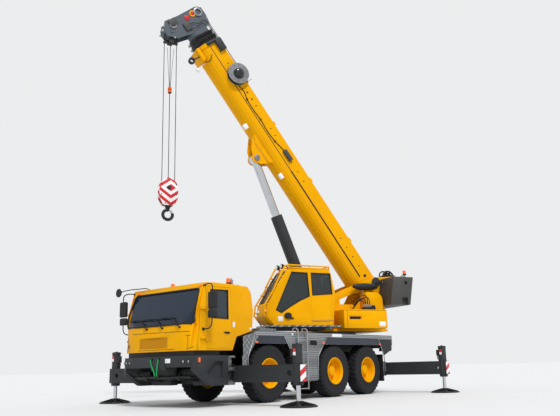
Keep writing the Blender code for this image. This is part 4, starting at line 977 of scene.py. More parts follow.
# the bars round the wheel arches: (x, z) points on the side sheet
archRuns = (((3.27, 1.66), (3.55, 1.06), (3.56, 0.74)), ((2.19, 1.56), (1.83, 1.04), (1.80, 0.50)),
            ((0.41, 1.56), (0.81, 1.08), (0.84, 0.48)), ((-2.24, 1.56), (-2.51, 1.08), (-2.55, 0.62)))
edges = [acrossY(hose([(x, 1.278, z) for x, z in run], 0.012, bent=False)) for run in archRuns]
hanger = [acrossY(block((3.545, 1.258, 0.88), (3.735, 1.2705, 1.10), 0.003))]
add("mudguardHangers", "treadplate", "carrier", hanger)
add("archEdgeBars", "galvanisedSteel", "carrier", edges)
# the amber side reflectors glow faintly through their lens material: painted light
reflectors = [acrossY(block((x - 0.055, 1.274, z - 0.018), (x + 0.055, 1.292, z + 0.018), 0.008))
              for x, z in ((3.25, 1.415), (0.56, 1.415), (-2.30, 1.412))]
add("sideMarkers", "amberLens", "carrier", reflectors)
blank = [acrossY(block((-0.32, 1.2765, 1.585), (0.14, 1.2790, 1.668), 0.001)),
         acrossY(block((1.84, 1.2765, 1.60), (1.90, 1.2790, 1.65), 0.001))]
add("deckBlankPlates", "whiteEnamel", "carrier", blank)
flapSpots = ((-2.50, 0.34, 1.12), (1.86, 0.62, 1.1))
flaps = [acrossY(block((x, 0.90, z0), (x + 0.012, 1.24, z1), 0.003)) for x, z0, z1 in flapSpots]
add("mudFlaps", "hoseRubber", "carrier", flaps)
drop = [acrossY(hose([(-2.50, 0.92, 0.36), (-2.50, 1.25, 0.36), (-2.50, 1.25, 0.9)], 0.006, bent=False))]
add("flapStays", "galvanisedSteel", "carrier", drop)
# On the deck: two hatches with latches; at its rear the lamps
hatches = [block((2.30, y, 1.682), (2.95, y + 0.80, 1.76), 0.012) for y in (0.30, -1.10)]
add("deckHatches", "treadplate", "carrier", hatches)
latches = [block((2.60, s * 0.70 - 0.06, 1.76), (2.66, s * 0.70 + 0.06, 1.772), 0.004) for s in (-1, 1)]
latches += [bar((2.32, s * 0.45, 1.763), (2.32, s * 0.95, 1.763), 0.009) for s in (-1, 1)]
add("hatchLatches", "blackAbs", "carrier", latches)
rear = {"x": -3.044, "low": 1.24, "high": 1.36}
# name, finish, inner and outer y
tailLights = (("tailLamps", "redLens", 0.80, 0.98), ("tailIndicators", "amberLens", 1.00, 1.10),
              ("reverseLamps", "clearLens", 1.12, 1.18))
lampBoxes = [acrossY(block((rear["x"] - 0.055, 0.78, 1.22), (rear["x"] - 0.001, 1.20, 1.38), 0.010))]
add("tailLampHousings", "blackAbs", "carrier", lampBoxes)
for name, finish, inner, outer in tailLights:
    lens = block((rear["x"] - 0.066, inner, rear["low"]), (rear["x"] - 0.052, outer, rear["high"]), 0.006)
    add(name, finish, "carrier", [acrossY(lens)])
print("deck dressed")

# Under the carrier: suspension struts with their cross tubes, and the drive shafts
under = []
for number, axleX in enumerate(wheelLook["axles"], 1):
    for side in (-1, 1):
        under.append(bar((axleX - 0.14, side * 0.50, 0.70), (axleX - 0.10, side * 0.44, 1.22), 0.055, 20))
        under.append(bar((axleX - 0.14, side * 0.50, 0.72), (axleX - 0.12, side * 0.475, 0.98), 0.070, 20))
    under.append(hose([(axleX - 0.22, -0.62, 0.60), (axleX - 0.22, 0.62, 0.60)], 0.022))
    under.append(bar((axleX + 0.10, 0.30, 0.76), (axleX + 0.10, 0.30, 0.95), 0.085, 20))
add("suspensionStruts", "greyChassisEnamel", "carrier", under)
shafts = [bar((-1.45, 0, 0.70), (-0.22, 0, 0.70), 0.05, 20), bar((0.22, 0, 0.71), (2.5, 0, 0.71), 0.05, 20)]
add("driveShafts", "greasedSteel", "carrier", shafts)
print("underside dressed")

# Crane cab, in the superstructure's frame: glass, rubber, guards and rail
craneCab = {
    # left and right walls; outlines of the side and door windows as (s, z); the guards' l
    "left": 1.23, "right": 0.50,
    "side": ((1.855, 3.43), (1.37, 3.42), (1.32, 2.76), (1.62, 2.635), (1.94, 2.455), (2.205, 2.285),
             (2.365, 2.36)),
    "rear": doorWindow,
    "guards": (1.205, 0.525),
}


def craneFront(z):
    # s of the cab's front at a height
    rows = ((1.95, 2.44), (2.20, 2.66), (2.50, 2.62), (3.20, 2.21), (3.50, 1.99))
    return next(s0 + (s1 - s0) * (z - z0) / (z1 - z0) for (z0, s0), (z1, s1) in zip(rows, rows[1:])
                if z <= z1)


left, right = craneCab["left"], craneCab["right"]
panes = [plate(craneCab["side"], "xz", left - 0.022, left - 0.014),
         plate(craneCab["side"], "xz", right + 0.014, right + 0.022),
         plate(craneCab["rear"], "xz", right + 0.014, right + 0.022)]
windscreen = plate([(craneFront(z) - 0.020, z) for z in (2.57, 3.19, 3.43)]
                   + [(craneFront(z) - 0.028, z) for z in (3.43, 3.19, 2.57)], "xz", 0.57, 1.16)
roofPane = block((1.31, 0.61, 3.500), (1.89, 1.12, 3.508))
rearPane = block((0.545, 0.61, 2.82), (0.553, 1.12, 3.38))
add("craneCabGlass", "craneGlass", "superstructure", panes + [roofPane, rearPane])
add("craneWindscreen", "clearGlass", "superstructure", [windscreen])
add("craneCabTray", "blackEnamel", "superstructure", [block((0.75, 0.54, 1.815), (2.42, 1.08, 1.93), 0.01)])
add("craneDoorGlass", "craneGlass", "superstructure",
    [plate(craneCab["rear"], "xz", left - 0.022, left - 0.014)])
rubbers = [hose([(s, l, z) for s, z in craneCab[key]], 0.018, bent=False, loop=True)
           for l in (left - 0.004, right + 0.004) for key in ("side", "rear")]
# the windscreen's rubber: (l, z)
screenRun = ((0.565, 2.57), (0.86, 2.57), (1.165, 2.57), (1.165, 3.19), (1.165, 3.43), (0.86, 3.43),
             (0.565, 3.43), (0.565, 3.19))
rubbers.append(hose([(craneFront(z) + 0.002, l, z) for l, z in screenRun], 0.012, bent=False, loop=True))
add("craneCabSeals", "hoseRubber", "superstructure", rubbers)
# tubes of the guard on either side of the cab: runs of (s, z)
guardRuns = (
    ((0.66, 3.50), (0.64, 3.625), (1.95, 3.635), (2.05, 3.60)), ((0.65, 3.55), (1.92, 3.56)),
    ((2.05, 3.60), (2.30, 3.17), (2.40, 2.95), (2.70, 2.50), (2.735, 2.24), (2.52, 1.98)),
)
guard = [hose([(s, l, z) for s, z in run], 0.026, bent=False) for l in craneCab["guards"]
         for run in guardRuns]
guard += [hose([(s, l, 3.50), (s + 0.01, l, 3.63)], 0.016) for l in craneCab["guards"] for s in (1.27, 1.93)]
guard += [hose([(s, 0.525, 3.63), (s, 1.205, 3.63)], 0.016) for s in (0.65, 1.93)]
for l in craneCab["guards"]:
    for z in (2.30, 2.52, 2.80, 3.05, 3.30):
        s = craneFront(z)
        guard.append(hose([(s - 0.015, l, z), (s + 0.085, l, z + 0.02)], 0.020))
add("craneCabGuards", "yellowTopcoat", "superstructure", guard)
bars = [hose([(craneFront(z) + 0.05, l, z) for z in (2.55, 2.85, 3.19, 3.45)], 0.009) for l in (0.72, 1.00)]
add("windscreenBars", "blackEnamel", "superstructure", bars)
lampArm = [hose([(1.86, l, 3.50), (1.88, l, 3.60), (1.98, l, 3.62)], 0.016) for l in (1.0, 0.70)]
heads = [lathe([(0.0, -0.06), (0.045, -0.05), (0.075, 0.03), (0.075, 0.06), (0.0, 0.06)], (2.03, l, 3.615),
               "x", 24) for l in (0.70, 1.0)]
add("roofFloodlights", "blackAbs", "superstructure", lampArm + heads)
add("roofFloodlightLenses", "clearLens", "superstructure",
    [lathe([(0.0, 0.058), (0.068, 0.058), (0.060, 0.068), (0.0, 0.072)], (2.03, l, 3.615), "x", 24)
     for l in (0.70, 1.0)])
paddle = plate([(2.02 + 0.11 * math.cos(rad(a)), 2.205 + 0.086 * math.sin(rad(a)))
                for a in range(0, 360, 24)], "xz", left + 0.002, left + 0.060, 0.014, 3)
tail = block((1.84, left + 0.005, 2.115), (1.96, left + 0.028, 2.160), 0.010)
add("craneCabMirrorPod", "blackAbs", "superstructure", [paddle, tail])
add("craneCabBlankPlate", "whiteEnamel", "superstructure",
    [block((2.165, left + 0.001, 2.05), (2.31, left + 0.004, 2.183), 0.001)])
add("craneDoorTrack", "galvanisedSteel", "superstructure",
    [block((0.56, left + 0.001, 2.088), (1.28, left + 0.020, 2.102), 0.004)])
noseLamps = [block((2.63, l - 0.05, 2.30), (2.68, l + 0.05, 2.38), 0.012) for l in (0.62, 1.10)]
add("craneNoseLamps", "clearLens", "superstructure", noseLamps)
console = [block((1.45, l0, 2.60), (1.72, l1, 2.66), 0.012) for l0, l1 in ((0.60, 0.70), (1.08, 1.16))]
console += [hose([(1.62, l, 2.66), (1.63, l, 2.80)], 0.012) for l in (0.65, 1.12)]
console += [block((2.20, 0.66, 2.62), (2.26, 0.86, 2.90), 0.014)]
add("craneCabConsoles", "blackAbs", "superstructure", console)
print("crane cab dressed")

# Turntable, cabinets and counterweight
ductShape = lathe([(0.0, -0.47), (0.06, -0.45), (0.105, -0.30), (0.12, 0.0), (0.105, 0.22), (0.05, 0.38),
                   (0.0, 0.41)], (-0.86, 0.66, 3.13), "x", 28)
for vertex in ductShape.data.vertices:
    vertex.co.z = 3.155 + (vertex.co.z - 3.13) * (0.95 if vertex.co.z < 3.13 else 0.90)
add("turntableCamera", "blackAbs", "superstructure",
    [ductShape, hose([(-1.16, 0.60, 3.19), (-1.28, 0.56, 3.25), (-1.36, 0.52, 3.27)], 0.05)])
add("cameraStay", "galvanisedSteel", "superstructure",
    [block((-0.83, 0.640, 2.97), (-0.79, 0.660, 3.06), 0.004)])
shoulder = [(-1.14 - 0.26 * math.sin(rad(15 * i)), 2.71 + 0.26 * math.cos(rad(15 * i))) for i in range(7)]
tank = plate([(-0.80, 2.411), (-0.80, 2.95), (-0.84, 2.97)] + shoulder + [(-1.40, 2.411)], "xz", 0.502,
             0.84, 0.012)
add("oilTank", "yellowTopcoat", "superstructure", [tank])
bossCap = lathe([(0.0, 0.0), (0.15, 0.0), (0.15, 0.014), (0.13, 0.03), (0.0, 0.034)], (-1.40, 0.511, 3.33),
                "y", 32)
bossBolts = turnedCopies(bar((0.115, 0.02, 0), (0.115, 0.046, 0), 0.013, 6), around("Y", 8))
settle(bossBolts, Matrix.Translation((-1.40, 0.511, 3.33)))
add("pivotCaps", "greyChassisEnamel", "superstructure", [acrossY(bossCap), acrossY(bossBolts)])
valveFrame = superFrame @ Matrix.Translation((-0.56, 0.21, 0))
valveBlock = [block((-0.42, 0.64, 2.415), (-0.06, 0.86, 2.50), 0.008),
              block((-0.44, 0.66, 2.46), (-0.34, 0.82, 2.56), 0.02)]
add("valveBlock", "blackEnamel", "superstructure", valveBlock, valveFrame)
fittings = [bar((-0.30 + 0.07 * i, 0.72, 2.50), (-0.30 + 0.07 * i, 0.72, 2.60), 0.018, 12) for i in range(4)]
fittings += [bar((-0.30 + 0.07 * i, 0.80, 2.50), (-0.30 + 0.07 * i, 0.80, 2.57), 0.014, 6) for i in range(4)]
add("valveFittings", "galvanisedSteel", "superstructure", fittings, valveFrame)
runs = [[(-0.30, 0.72, 2.60), (-0.29, 0.72, 2.72), (-0.20, 0.72, 2.80), (-0.02, 0.66, 2.72),
         (0.05, 0.50, 2.62), (0.06, 0.36, 2.60)],
        [(-0.23, 0.72, 2.60), (-0.22, 0.73, 2.76), (-0.12, 0.74, 2.86), (0.04, 0.66, 2.80),
         (0.10, 0.50, 2.70), (0.12, 0.36, 2.68)],
        [(-0.16, 0.72, 2.60), (-0.15, 0.72, 2.68), (-0.08, 0.72, 2.76), (0.06, 0.66, 2.70),
         (0.12, 0.52, 2.56), (0.14, 0.42, 2.46)],
        [(-0.09, 0.72, 2.60), (-0.08, 0.72, 2.66), (0.00, 0.70, 2.70), (0.10, 0.62, 2.60),
         (0.14, 0.52, 2.48)]]
add("valveHoses", "hoseRubber", "superstructure", [hose(run, 0.013) for run in runs], valveFrame)
topGear = [lathe([(0.0, 0.0), (0.20, 0.0), (0.20, 0.06), (0.14, 0.08), (0.12, 0.15), (0.0, 0.15)],
                 (-2.02, 0.20, 3.525), "z", 24),
           hose([(-1.80, 0.34, 3.50), (-1.84, 0.34, 3.66), (-2.04, 0.34, 3.70), (-2.20, 0.30, 3.58),
                 (-2.25, 0.28, 3.51)], 0.026),
           hose([(-1.80, 0.10, 3.50), (-1.86, 0.10, 3.70), (-2.06, 0.12, 3.71), (-2.22, 0.12, 3.58),
                 (-2.26, 0.12, 3.51)], 0.022), block((-2.26, -0.30, 3.505), (-1.78, 0.40, 3.530), 0.006)]
add("topHoseReel", "blackEnamel", "superstructure", topGear)
# painted shade: a black block in the handle's recess
handleSlotShade = block((-0.376, 1.150, 2.123), (0.016, 1.164, 2.207))
add("cabinetHandleSlot", "blackEnamel", "superstructure", [handleSlotShade])
cabinetSeams = [hose([(0.10, 1.221, 1.90), (0.10, 1.221, 2.39)], 0.004, bent=False),
                hose([(-1.24, 1.221, 2.385), (0.18, 1.221, 2.385)], 0.004, bent=False)]
add("cabinetSeams", "shadowGap", "superstructure", cabinetSeams)
add("cabinetBlankPlate", "whiteEnamel", "superstructure",
    [block((-1.20, 1.2205, 1.925), (-0.98, 1.2235, 2.06), 0.001)])
weightSide = [bar((-2.02, s * 1.185, 3.24), (-2.02, s * 1.14, 3.24), 0.060, 28) for s in (-1, 1)]
add("counterweightSockets", "blackEnamel", "superstructure", weightSide)
lugs = []
for s in (-1, 1):
    for x0 in (-1.80, -2.10):
        lugs.append(hose([(x0, s * 0.98, 3.40), (x0, s * 0.98, 3.47), (x0, s * 0.86, 3.47),
                          (x0, s * 0.86, 3.40)], 0.014))
add("counterweightLugs", "galvanisedSteel", "superstructure", lugs)
makeBeacon((-2.13, 1.02, 3.50), "rearTurntableBeacon", "superstructure")
add("turntableBeaconBracket", "galvanisedSteel", "superstructure",
    [block((-2.22, 0.94, 3.418), (-2.04, 1.10, 3.432), 0.004),
     bar((-2.13, 1.02, 3.42), (-2.13, 1.02, 3.502), 0.025)])
workLamp = lathe([(0.0, -0.05), (0.04, -0.04), (0.07, 0.02), (0.07, 0.04), (0.0, 0.04)],
                 (-1.62, 0.60, 3.30), "y", 24)
add("workLamp", "galvanisedSteel", "superstructure", [workLamp])
print("superstructure dressed")

# Boom, along u and square to it n from its pivot; l runs to the left
boomLook = {"half": 0.34, "mouth": 9.05}
half = boomLook["half"]
strip = [acrossY(block((0.42, half - 0.002, -0.300), (4.35, half + 0.016, -0.262), 0.004)),
         acrossY(block((4.35, half - 0.002, -0.292), (8.98, half + 0.006, -0.270), 0.002))]
add("boomSideStrip", "blackAbs", "boom_base", strip)
# the port holes' u, n and radius
holes = [(0.34, -0.11, 0.048), (0.70, -0.10, 0.020), (1.05, -0.10, 0.020), (1.40, -0.10, 0.020),
         (1.74, -0.10, 0.020), (3.87, -0.10, 0.022), (4.22, -0.10, 0.022), (4.59, -0.10, 0.022),
         (5.55, -0.06, 0.020), (5.80, -0.06, 0.020), (6.64, -0.06, 0.024), (6.88, -0.06, 0.030),
         (7.13, -0.06, 0.030), (8.20, -0.08, 0.020), (8.62, -0.08, 0.020)]
add("boomPortHoles", "shadowGap", "boom_base",
    [acrossY(bar((u, half - 0.01, n), (u, half + 0.0022, n), r, 20)) for u, n, r in holes])
tabs = [acrossY(block((u - 0.07, half - 0.10, 0.168), (u + 0.07, half - 0.05, 0.215), 0.008))
        for u in (1.53, 3.78, 5.9)]
add("boomTopTabs", "yellowTopcoat", "boom_base", tabs)
add("boomJunctionBox", "greyAbs", "boom_base",
    [block((4.62, half + 0.001, -0.165), (5.01, half + 0.075, -0.03), 0.012)])
boxes = [block((4.30, 0.20, -0.70), (4.48, 0.30, -0.58), 0.014),
         block((6.18, 0.16, -0.78), (6.34, 0.26, -0.64), 0.014)]
add("boomFloodlights", "whiteEnamel", "boom_base", boxes)
add("boomFloodlightLenses", "clearLens", "boom_base",
    [block((4.478, 0.215, -0.685), (4.486, 0.285, -0.595), 0.004),
     block((6.338, 0.175, -0.765), (6.346, 0.245, -0.655), 0.004)])
# the sensor cable's sag between its clips: u, n and how far it stands off the boom's side
cable = ((7.44, -0.20, 0.02), (7.20, -0.15, 0.014), (6.95, -0.21, 0.014), (6.60, -0.225, 0.014),
         (6.20, -0.20, 0.014), (5.80, -0.22, 0.014), (5.40, -0.19, 0.014), (5.10, -0.12, 0.02),
         (5.00, -0.10, 0.03))
add("sensorCable", "hoseRubber", "boom_base", [hose([(u, half + out, n) for u, n, out in cable], 0.012)])
clips = [block((u - 0.02, half + 0.0005, n - 0.03), (u + 0.02, half + 0.030, n + 0.03), 0.005)
         for u, n in ((6.95, -0.21), (6.2, -0.20), (5.4, -0.19))]
add("cableClips", "blackAbs", "boom_base", clips)
panelSeams = [hose([(u, half + 0.002, 0.12), (u, half + 0.002, -0.26)], 0.004, bent=False)
              for u in (8.90, 7.30)]
add("boomPanelSeams", "shadowGap", "boom_base", [acrossY(seam) for seam in panelSeams])
weldRibs = [acrossY(block((u, half - 0.004, -0.33), (u + 0.012, half + 0.004, 0.11), 0.003))
            for u in (2.3, 3.3, 6.05)]
add("boomWeldSeams", "yellowTopcoat", "boom_base", weldRibs)
cradle = [block((5.02, -0.21, -0.735), (5.72, 0.21, -0.715), 0.006)]
add("cylinderSaddle", "paleYellowPrimer", "boom_base", cradle)
pinEnds = [acrossY(lathe([(0.0, 0.0), (0.095, 0.0), (0.095, 0.012), (0.06, 0.020), (0.0, 0.020)],
                         (5.27, 0.200, -0.95), "y", 28))]
add("cylinderPinPlates", "machinedSteel", "boom_base", pinEnds)

# Cable reel: sheet-metal flanges and a black spring housing
reelSpot = Matrix.Translation((7.75, half + 0.0003, -0.03))
flange = lathe([(0.0, 0.0), (0.338, 0.0), (0.340, 0.012), (0.334, 0.022), (0.325, 0.014), (0.22, 0.018),
                (0.0, 0.018)], steps=56)
outer = lathe([(0.0, 0.132), (0.22, 0.132), (0.325, 0.138), (0.334, 0.130), (0.340, 0.140), (0.338, 0.155),
               (0.0, 0.158)], steps=56)
drumCore = lathe([(0.0, 0.016), (0.24, 0.016), (0.245, 0.07), (0.24, 0.134), (0.0, 0.134)], steps=40)
add("reelFlanges", "machinedSteel", "boom_base", [flange, outer], boomFrame @ reelSpot, ["cable_reel"])
windings = [lathe([(0.23, y - 0.010), (0.25, y - 0.010), (0.25, y + 0.010), (0.23, y + 0.010)], steps=40)
         for y in (0.035, 0.058, 0.081, 0.104)]
add("reelWinding", "hoseRubber", "boom_base", [drumCore] + windings, boomFrame @ reelSpot)
dome = lathe([(0.0, 0.156), (0.175, 0.156), (0.172, 0.176), (0.155, 0.215), (0.115, 0.248), (0.06, 0.262),
              (0.0, 0.265)], steps=44, smooth=60)
add("reelHousing", "glossBlackAbs", "boom_base", [dome], boomFrame @ reelSpot)
bolts = turnedCopies(bar((0.275, 0.152, 0), (0.275, 0.168, 0), 0.012, 8), around("Y", 10))
add("reelBolts", "blackAbs", "boom_base", [bolts], boomFrame @ reelSpot)
roller = [bar((8.02, -0.12, 0.30), (8.02, 0.12, 0.30), 0.045, 20),
          block((7.97, -0.15, 0.165), (8.07, -0.125, 0.34), 0.006),
          block((7.97, 0.125, 0.165), (8.07, 0.15, 0.34), 0.006)]
add("ropeRoller", "blackEnamel", "boom_base", roller)
add("reelStay", "galvanisedSteel", "boom_base",
    [block((7.38, 0.22, 0.165), (7.50, 0.34, 0.185), 0.004),
     bar((7.44, 0.30, 0.18), (7.44, 0.30, 0.36), 0.018)])

# Collars and head
for body, inset, u0 in (("boom_2", 0.03, 9.213), ("boom_3", 0.06, 9.373)):
    shapes = [acrossY(block((u0 - 0.055 + 0.028 * i, half - inset + 0.013, -0.56),
                            (u0 - 0.045 + 0.028 * i, half - inset + 0.060, 0.12), 0.003)) for i in range(3)]
    add("collarFins_" + body, "blackEnamel", body, shapes)
ring = acrossY(block((8.94, half + 0.018, -0.36), (boomLook["mouth"], half + 0.045, 0.14), 0.008))
add("mouthPads", "blackEnamel", "boom_base", [ring])
add("headControlBox", "greyChassisEnamel", "boom_base",
    [block((8.62, half + 0.001, -0.07), (9.02, half + 0.10, 0.15), 0.012)])
mouthPlate = plate([(8.58, -0.72), (9.04, -0.72), (9.04, -0.62), (8.66, -0.60)], "xz", -0.30, 0.30, 0.008)
add("bellyPlate", "yellowTopcoat", "boom_base", [mouthPlate])
ringLight = [lathe([(0.055, -0.05), (0.10, -0.05), (0.105, 0.0), (0.10, 0.05), (0.055, 0.05)],
                   (8.80, 0.20, -1.02), "y", 28), bar((8.80, 0.20, -0.93), (8.80, 0.20, -0.66), 0.018)]
add("bellyLampRing", "blackAbs", "boom_base", ringLight)
cone = [bar((8.46, 0.16, -1.03), (8.52, 0.16, -0.88), 0.062, 24, 0.022),
        bar((8.52, 0.16, -0.88), (8.56, 0.16, -0.66), 0.014)]
add("bellyBeacon", "whiteEnamel", "boom_base", cone)
loop = hose([(8.66, half + 0.004, -0.40), (8.60, half + 0.03, -0.46), (8.52, half - 0.01, -0.58),
             (8.58, 0.26, -0.70)], 0.012)
add("bellyHose", "hoseRubber", "boom_base", [loop])
capRings, headBlocks = [], []
for side in (-1, 1):
    base = side * 0.203
    turned = Matrix.Rotation(rad(0 if side > 0 else 180), 4, "Z")
    for u, n, radius in ((10.02, -0.88, 0.125), (10.06, 0.10, 0.15)):
        shape = lathe([(radius * 0.60, 0.0), (radius, 0.0), (radius, 0.022), (radius * 0.80, 0.034),
                       (radius * 0.60, 0.030)], axis="y", steps=32)
        capRings.append(settle(shape, Matrix.Translation((u, base, n)) @ turned))
    for u0, u1, n0, n1, out in ((9.66, 9.92, -0.60, -0.38, 0.05), (9.98, 10.20, -0.98, -0.72, 0.04)):
        inner, outer = sorted((base, base + side * out))
        headBlocks.append(block((u0, inner, n0), (u1, outer, n1), 0.012))
add("headSheaveCaps", "machinedSteel", "boom_head", capRings)
add("headBlocks", "counterweightGrey", "boom_head", headBlocks)
redPlate = plate([(9.96, -0.42), (10.14, -0.40), (10.10, -0.24), (9.98, -0.25)], "xz", 0.2035, 0.212, 0.003)
add("headRedPlate", "redEnamel", "boom_head", [redPlate])
yellowRing = lathe([(0.065, 0.0), (0.100, 0.0), (0.100, 0.018), (0.065, 0.014)], (10.09, 0.2035, -0.10),
                   "y", 32)
redHub = lathe([(0.0, 0.0), (0.064, 0.0), (0.064, 0.008), (0.030, 0.012), (0.0, 0.012)],
               (10.09, 0.2035, -0.10), "y", 32)
add("headYellowRing", "yellowTopcoat", "boom_head", [yellowRing])
add("headRedHub", "redEnamel", "boom_head", [redHub])
guides = [acrossY(bar((u, 0.21, n), (u, 0.15, n), 0.022, 14))
          for u, n in ((9.66, -1.06), (10.12, -1.16), (10.20, -0.86))]
guides += [bar((u, -0.21, n), (u, 0.21, n), 0.022, 14) for u, n in ((9.80, 0.27), (10.22, 0.20))]
guides += [acrossY(block((9.98, 0.15, -1.285), (10.04, 0.19, -1.235), 0.008))]
add("ropeGuards", "galvanisedSteel", "boom_head", guides)
wire = [hose([(9.62, 0.215, 0.20), (9.75, 0.25, 0.10), (9.72, 0.25, -0.10), (9.82, 0.24, -0.30),
              (9.78, 0.235, -0.50)], 0.010),
        hose([(9.60, 0.215, 0.10), (9.68, 0.26, -0.05), (9.64, 0.26, -0.30), (9.70, 0.235, -0.45)], 0.008)]
add("headCables", "hoseRubber", "boom_head", wire)
topRun = [hose([(10.03, y, 0.29), (9.60, y, 0.315), (9.45, y, 0.318)], 0.010, bent=False)
          for y in (-0.06, 0.0, 0.06)]
add("topRopesHead", "greasedSteel", "boom_head", topRun)
topRun = [hose([(9.45, y, 0.318), (8.02, y, 0.348)], 0.010, bent=False) for y in (-0.06, 0.0, 0.06)]
add("topRopesBase", "greasedSteel", "boom_base", topRun)
print("boom dressed")

# Hoisting gear: rope falls, limit weight, hook block with chevron cheeks, hook with its latch
hookLook = {"blockFoot": 0.52, "hookZ": 5.12, "bend": 0.14, "stock": 0.046}
s0, wheelZ = place["hookS"], place["wheelZ"]
# the falls: the CAD rope, copied with its loose triangles joined and its place put into its mesh
falls = copyOf("hoist_rope")
falls.name = falls.data.name = "hoistRopeFalls"
falls.data.materials.clear()
falls.data.materials.append(materials["greasedSteel"])
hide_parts("hoist_rope")
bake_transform(falls)
weight = [lathe([(0.014, -0.10), (0.045, -0.10), (0.05, -0.08), (0.05, 0.08), (0.045, 0.10), (0.014, 0.10)],
                (s0, 0.0, 8.94), "z", 24)]
add("limitWeight", "blackEnamel", "hoist_falls", weight)
rings = [lathe([(0.014, 0.0), (0.055, 0.0), (0.060, 0.02), (0.060, 0.05), (0.055, 0.07), (0.014, 0.07)],
               (s0, 0.0, z), "z", 24) for z in (8.86, 8.95)]
add("limitWeightRings", "orangeEnamel", "hoist_falls", rings)
slings = [hose([(s0 + side * 0.012, 0.0, 9.04), (s0 + side * 0.03, 0.0, 9.25),
                (s0 + side * 0.10, 0.02, 10.30)], 0.006) for side in (-1, 1)]
add("limitWeightSlings", "greasedSteel", "hoist_falls", slings)


def cheekOutline(radius, low, waist, foot):
    top = [(s0 + radius * math.cos(math.pi * i / 10), wheelZ + radius * math.sin(math.pi * i / 10))
           for i in range(11)]
    return top + [(s0 - radius, wheelZ - waist), (s0 - foot, wheelZ - low), (s0 + foot, wheelZ - low),
                  (s0 + radius, wheelZ - waist)]


cheeks = [plate(cheekOutline(0.27, hookLook["blockFoot"], 0.30, 0.16), "xz", y, y + 0.03, 0.006)
          for y in (-0.11, 0.08)]
add("hookBlockCheeks", "redWhiteChevrons", "hook_block", cheeks, replaced=["hook_block"])
sheave = [lathe([(0.03, y - 0.028), (0.172, y - 0.028), (0.172, y - 0.016), (0.150, y - 0.006),
                 (0.150, y + 0.006), (0.172, y + 0.016), (0.172, y + 0.028), (0.03, y + 0.028)],
                (s0, 0.0, wheelZ), "y", 40) for y in (-0.032, 0.032)]
add("hookBlockSheaves", "machinedSteel", "hook_block", sheave)
frameBits = [block((s0 - 0.05, -0.078, wheelZ + 0.17), (s0 + 0.05, 0.078, wheelZ + 0.30), 0.010),
             block((s0 - 0.13, -0.079, wheelZ - 0.52), (s0 + 0.13, 0.079, wheelZ - 0.40), 0.014),
             bar((s0, -0.135, wheelZ), (s0, 0.135, wheelZ), 0.045, 24),
             bar((s0, -0.128, wheelZ), (s0, 0.128, wheelZ), 0.062, 6)]
frameBits += [bar((s0 + a, -0.122, wheelZ + b), (s0 + a, 0.122, wheelZ + b), 0.014, 12)
              for a, b in ((0.21, 0.10), (-0.21, 0.10), (0.22, -0.20), (-0.22, -0.20), (0.10, -0.47),
                           (-0.10, -0.47))]
add("hookBlockFrame", "blackEnamel", "hook_block", frameBits)
hookZ, bend, foot = hookLook["hookZ"], hookLook["bend"], wheelZ - hookLook["blockFoot"]
curl = [(s0 + bend * math.cos(rad(a)), 0.0, hookZ + bend * math.sin(rad(a))) for a in range(90, -200, -18)]
hookShape = hose([(s0, 0, foot - 0.02), (s0, 0, hookZ + 0.20)] + curl, hookLook["stock"])
for vertex in hookShape.data.vertices:
    vertex.co.y *= 0.85 if vertex.co.z < hookZ + 0.1 else 1.0
nut = [bar((s0, 0, foot - 0.0005), (s0, 0, foot - 0.05), 0.085, 6),
       bar((s0, 0, foot - 0.05), (s0, 0, foot - 0.08), 0.065, 24)]
latch = [plate([(s0 - 0.105, hookZ + 0.13), (s0 - 0.02, hookZ + 0.16), (s0 - 0.13, hookZ + 0.005),
                (s0 - 0.165, hookZ + 0.01)], "xz", -0.028, 0.028, 0.004)]
add("hookForging", "blackEnamel", "hook", [hookShape] + nut, replaced=["hook"])
add("hookLatch", "galvanisedSteel", "hook", latch)
print("hook dressed")

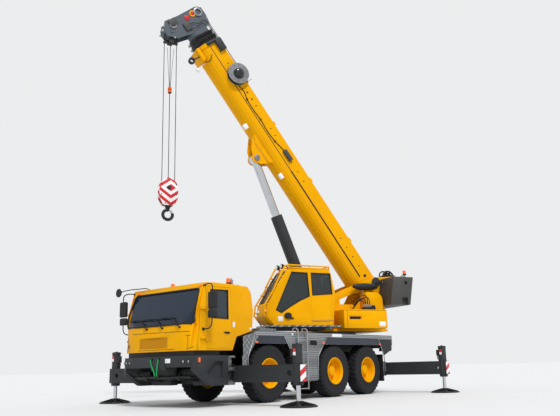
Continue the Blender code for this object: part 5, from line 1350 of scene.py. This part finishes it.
# Floor, light and camera
studio = {"floor": "DCDDDE", "sun": 2.1, "sunFrom": (38, 0, 150), "sunAngle": 12, "sky": 0.73,
          "lens": 42.43, "camera": (14.62, 11.92, 0.844), "yaw": 3.831, "pitch": 0.2351, "roll": -0.0242}
clear()
bpy.ops.mesh.primitive_plane_add(size=400)
floor = bpy.context.active_object
floor.name = "studioFloor"
paper, tree, shader, where = newMaterial("paleStudioPaper")
speck = addNode(tree, "ShaderNodeTexNoise", {"Scale": 0.6, "Detail": 2.0}, {"Vector": where})
tone = addNode(tree, "ShaderNodeValToRGB", links={"Fac": speck.outputs["Fac"]})
tone.color_ramp.elements[0].color = hexColour(studio["floor"])
tone.color_ramp.elements[1].color = hexColour("E2E3E4")
tree.links.new(tone.outputs["Color"], shader.inputs["Base Color"])
shader.inputs["Roughness"].default_value = 0.9
floor.data.materials.append(paper)
floor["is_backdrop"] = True

world = bpy.data.worlds.new("studio")
scene.world = world
world.use_nodes = True
tree = world.node_tree
sky = tree.nodes["Background"]
sky.inputs["Color"].default_value = hexColour("F2F4F6")
sky.inputs["Strength"].default_value = studio["sky"]
shown = addNode(tree, "ShaderNodeBackground", {"Color": hexColour("ECEDEE"), "Strength": 1.0})
rays = addNode(tree, "ShaderNodeLightPath")
seen = addNode(tree, "ShaderNodeMath", {"operation": "MAXIMUM"},
               {0: rays.outputs["Is Camera Ray"], 1: rays.outputs["Is Glossy Ray"]})
seen = addNode(tree, "ShaderNodeMath", {"operation": "MAXIMUM"},
               {0: seen.outputs[0], 1: rays.outputs["Is Transmission Ray"]})
choice = addNode(tree, "ShaderNodeMixShader",
                 links={0: seen.outputs[0], 1: sky.outputs[0], 2: shown.outputs[0]})
tree.links.new(choice.outputs[0], tree.nodes["World Output"].inputs["Surface"])

bpy.ops.object.light_add(type="SUN", rotation=[rad(turn) for turn in studio["sunFrom"]])
sun = bpy.context.active_object
sun.name = "studioKey"
sun.data.energy = studio["sun"]
sun.data.angle = rad(studio["sunAngle"])

forward = Vector((math.cos(studio["pitch"]) * math.cos(studio["yaw"]),
                  math.cos(studio["pitch"]) * math.sin(studio["yaw"]), math.sin(studio["pitch"])))
level = forward.cross(Vector((0, 0, 1))).normalized()
right = level * math.cos(studio["roll"]) + level.cross(forward) * math.sin(studio["roll"])
up = right.cross(forward)
bpy.ops.object.camera_add(location=studio["camera"])
camera = bpy.context.active_object
axes = Matrix((right, up, -forward)).transposed().to_4x4()
camera.matrix_world = Matrix.Translation(studio["camera"]) @ axes
camera.data.lens = studio["lens"]
camera.data.sensor_width = 36
camera.data.clip_end = 300
scene.camera = camera
scene.view_settings.view_transform = "Standard"
print("studio ready")

low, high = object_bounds()
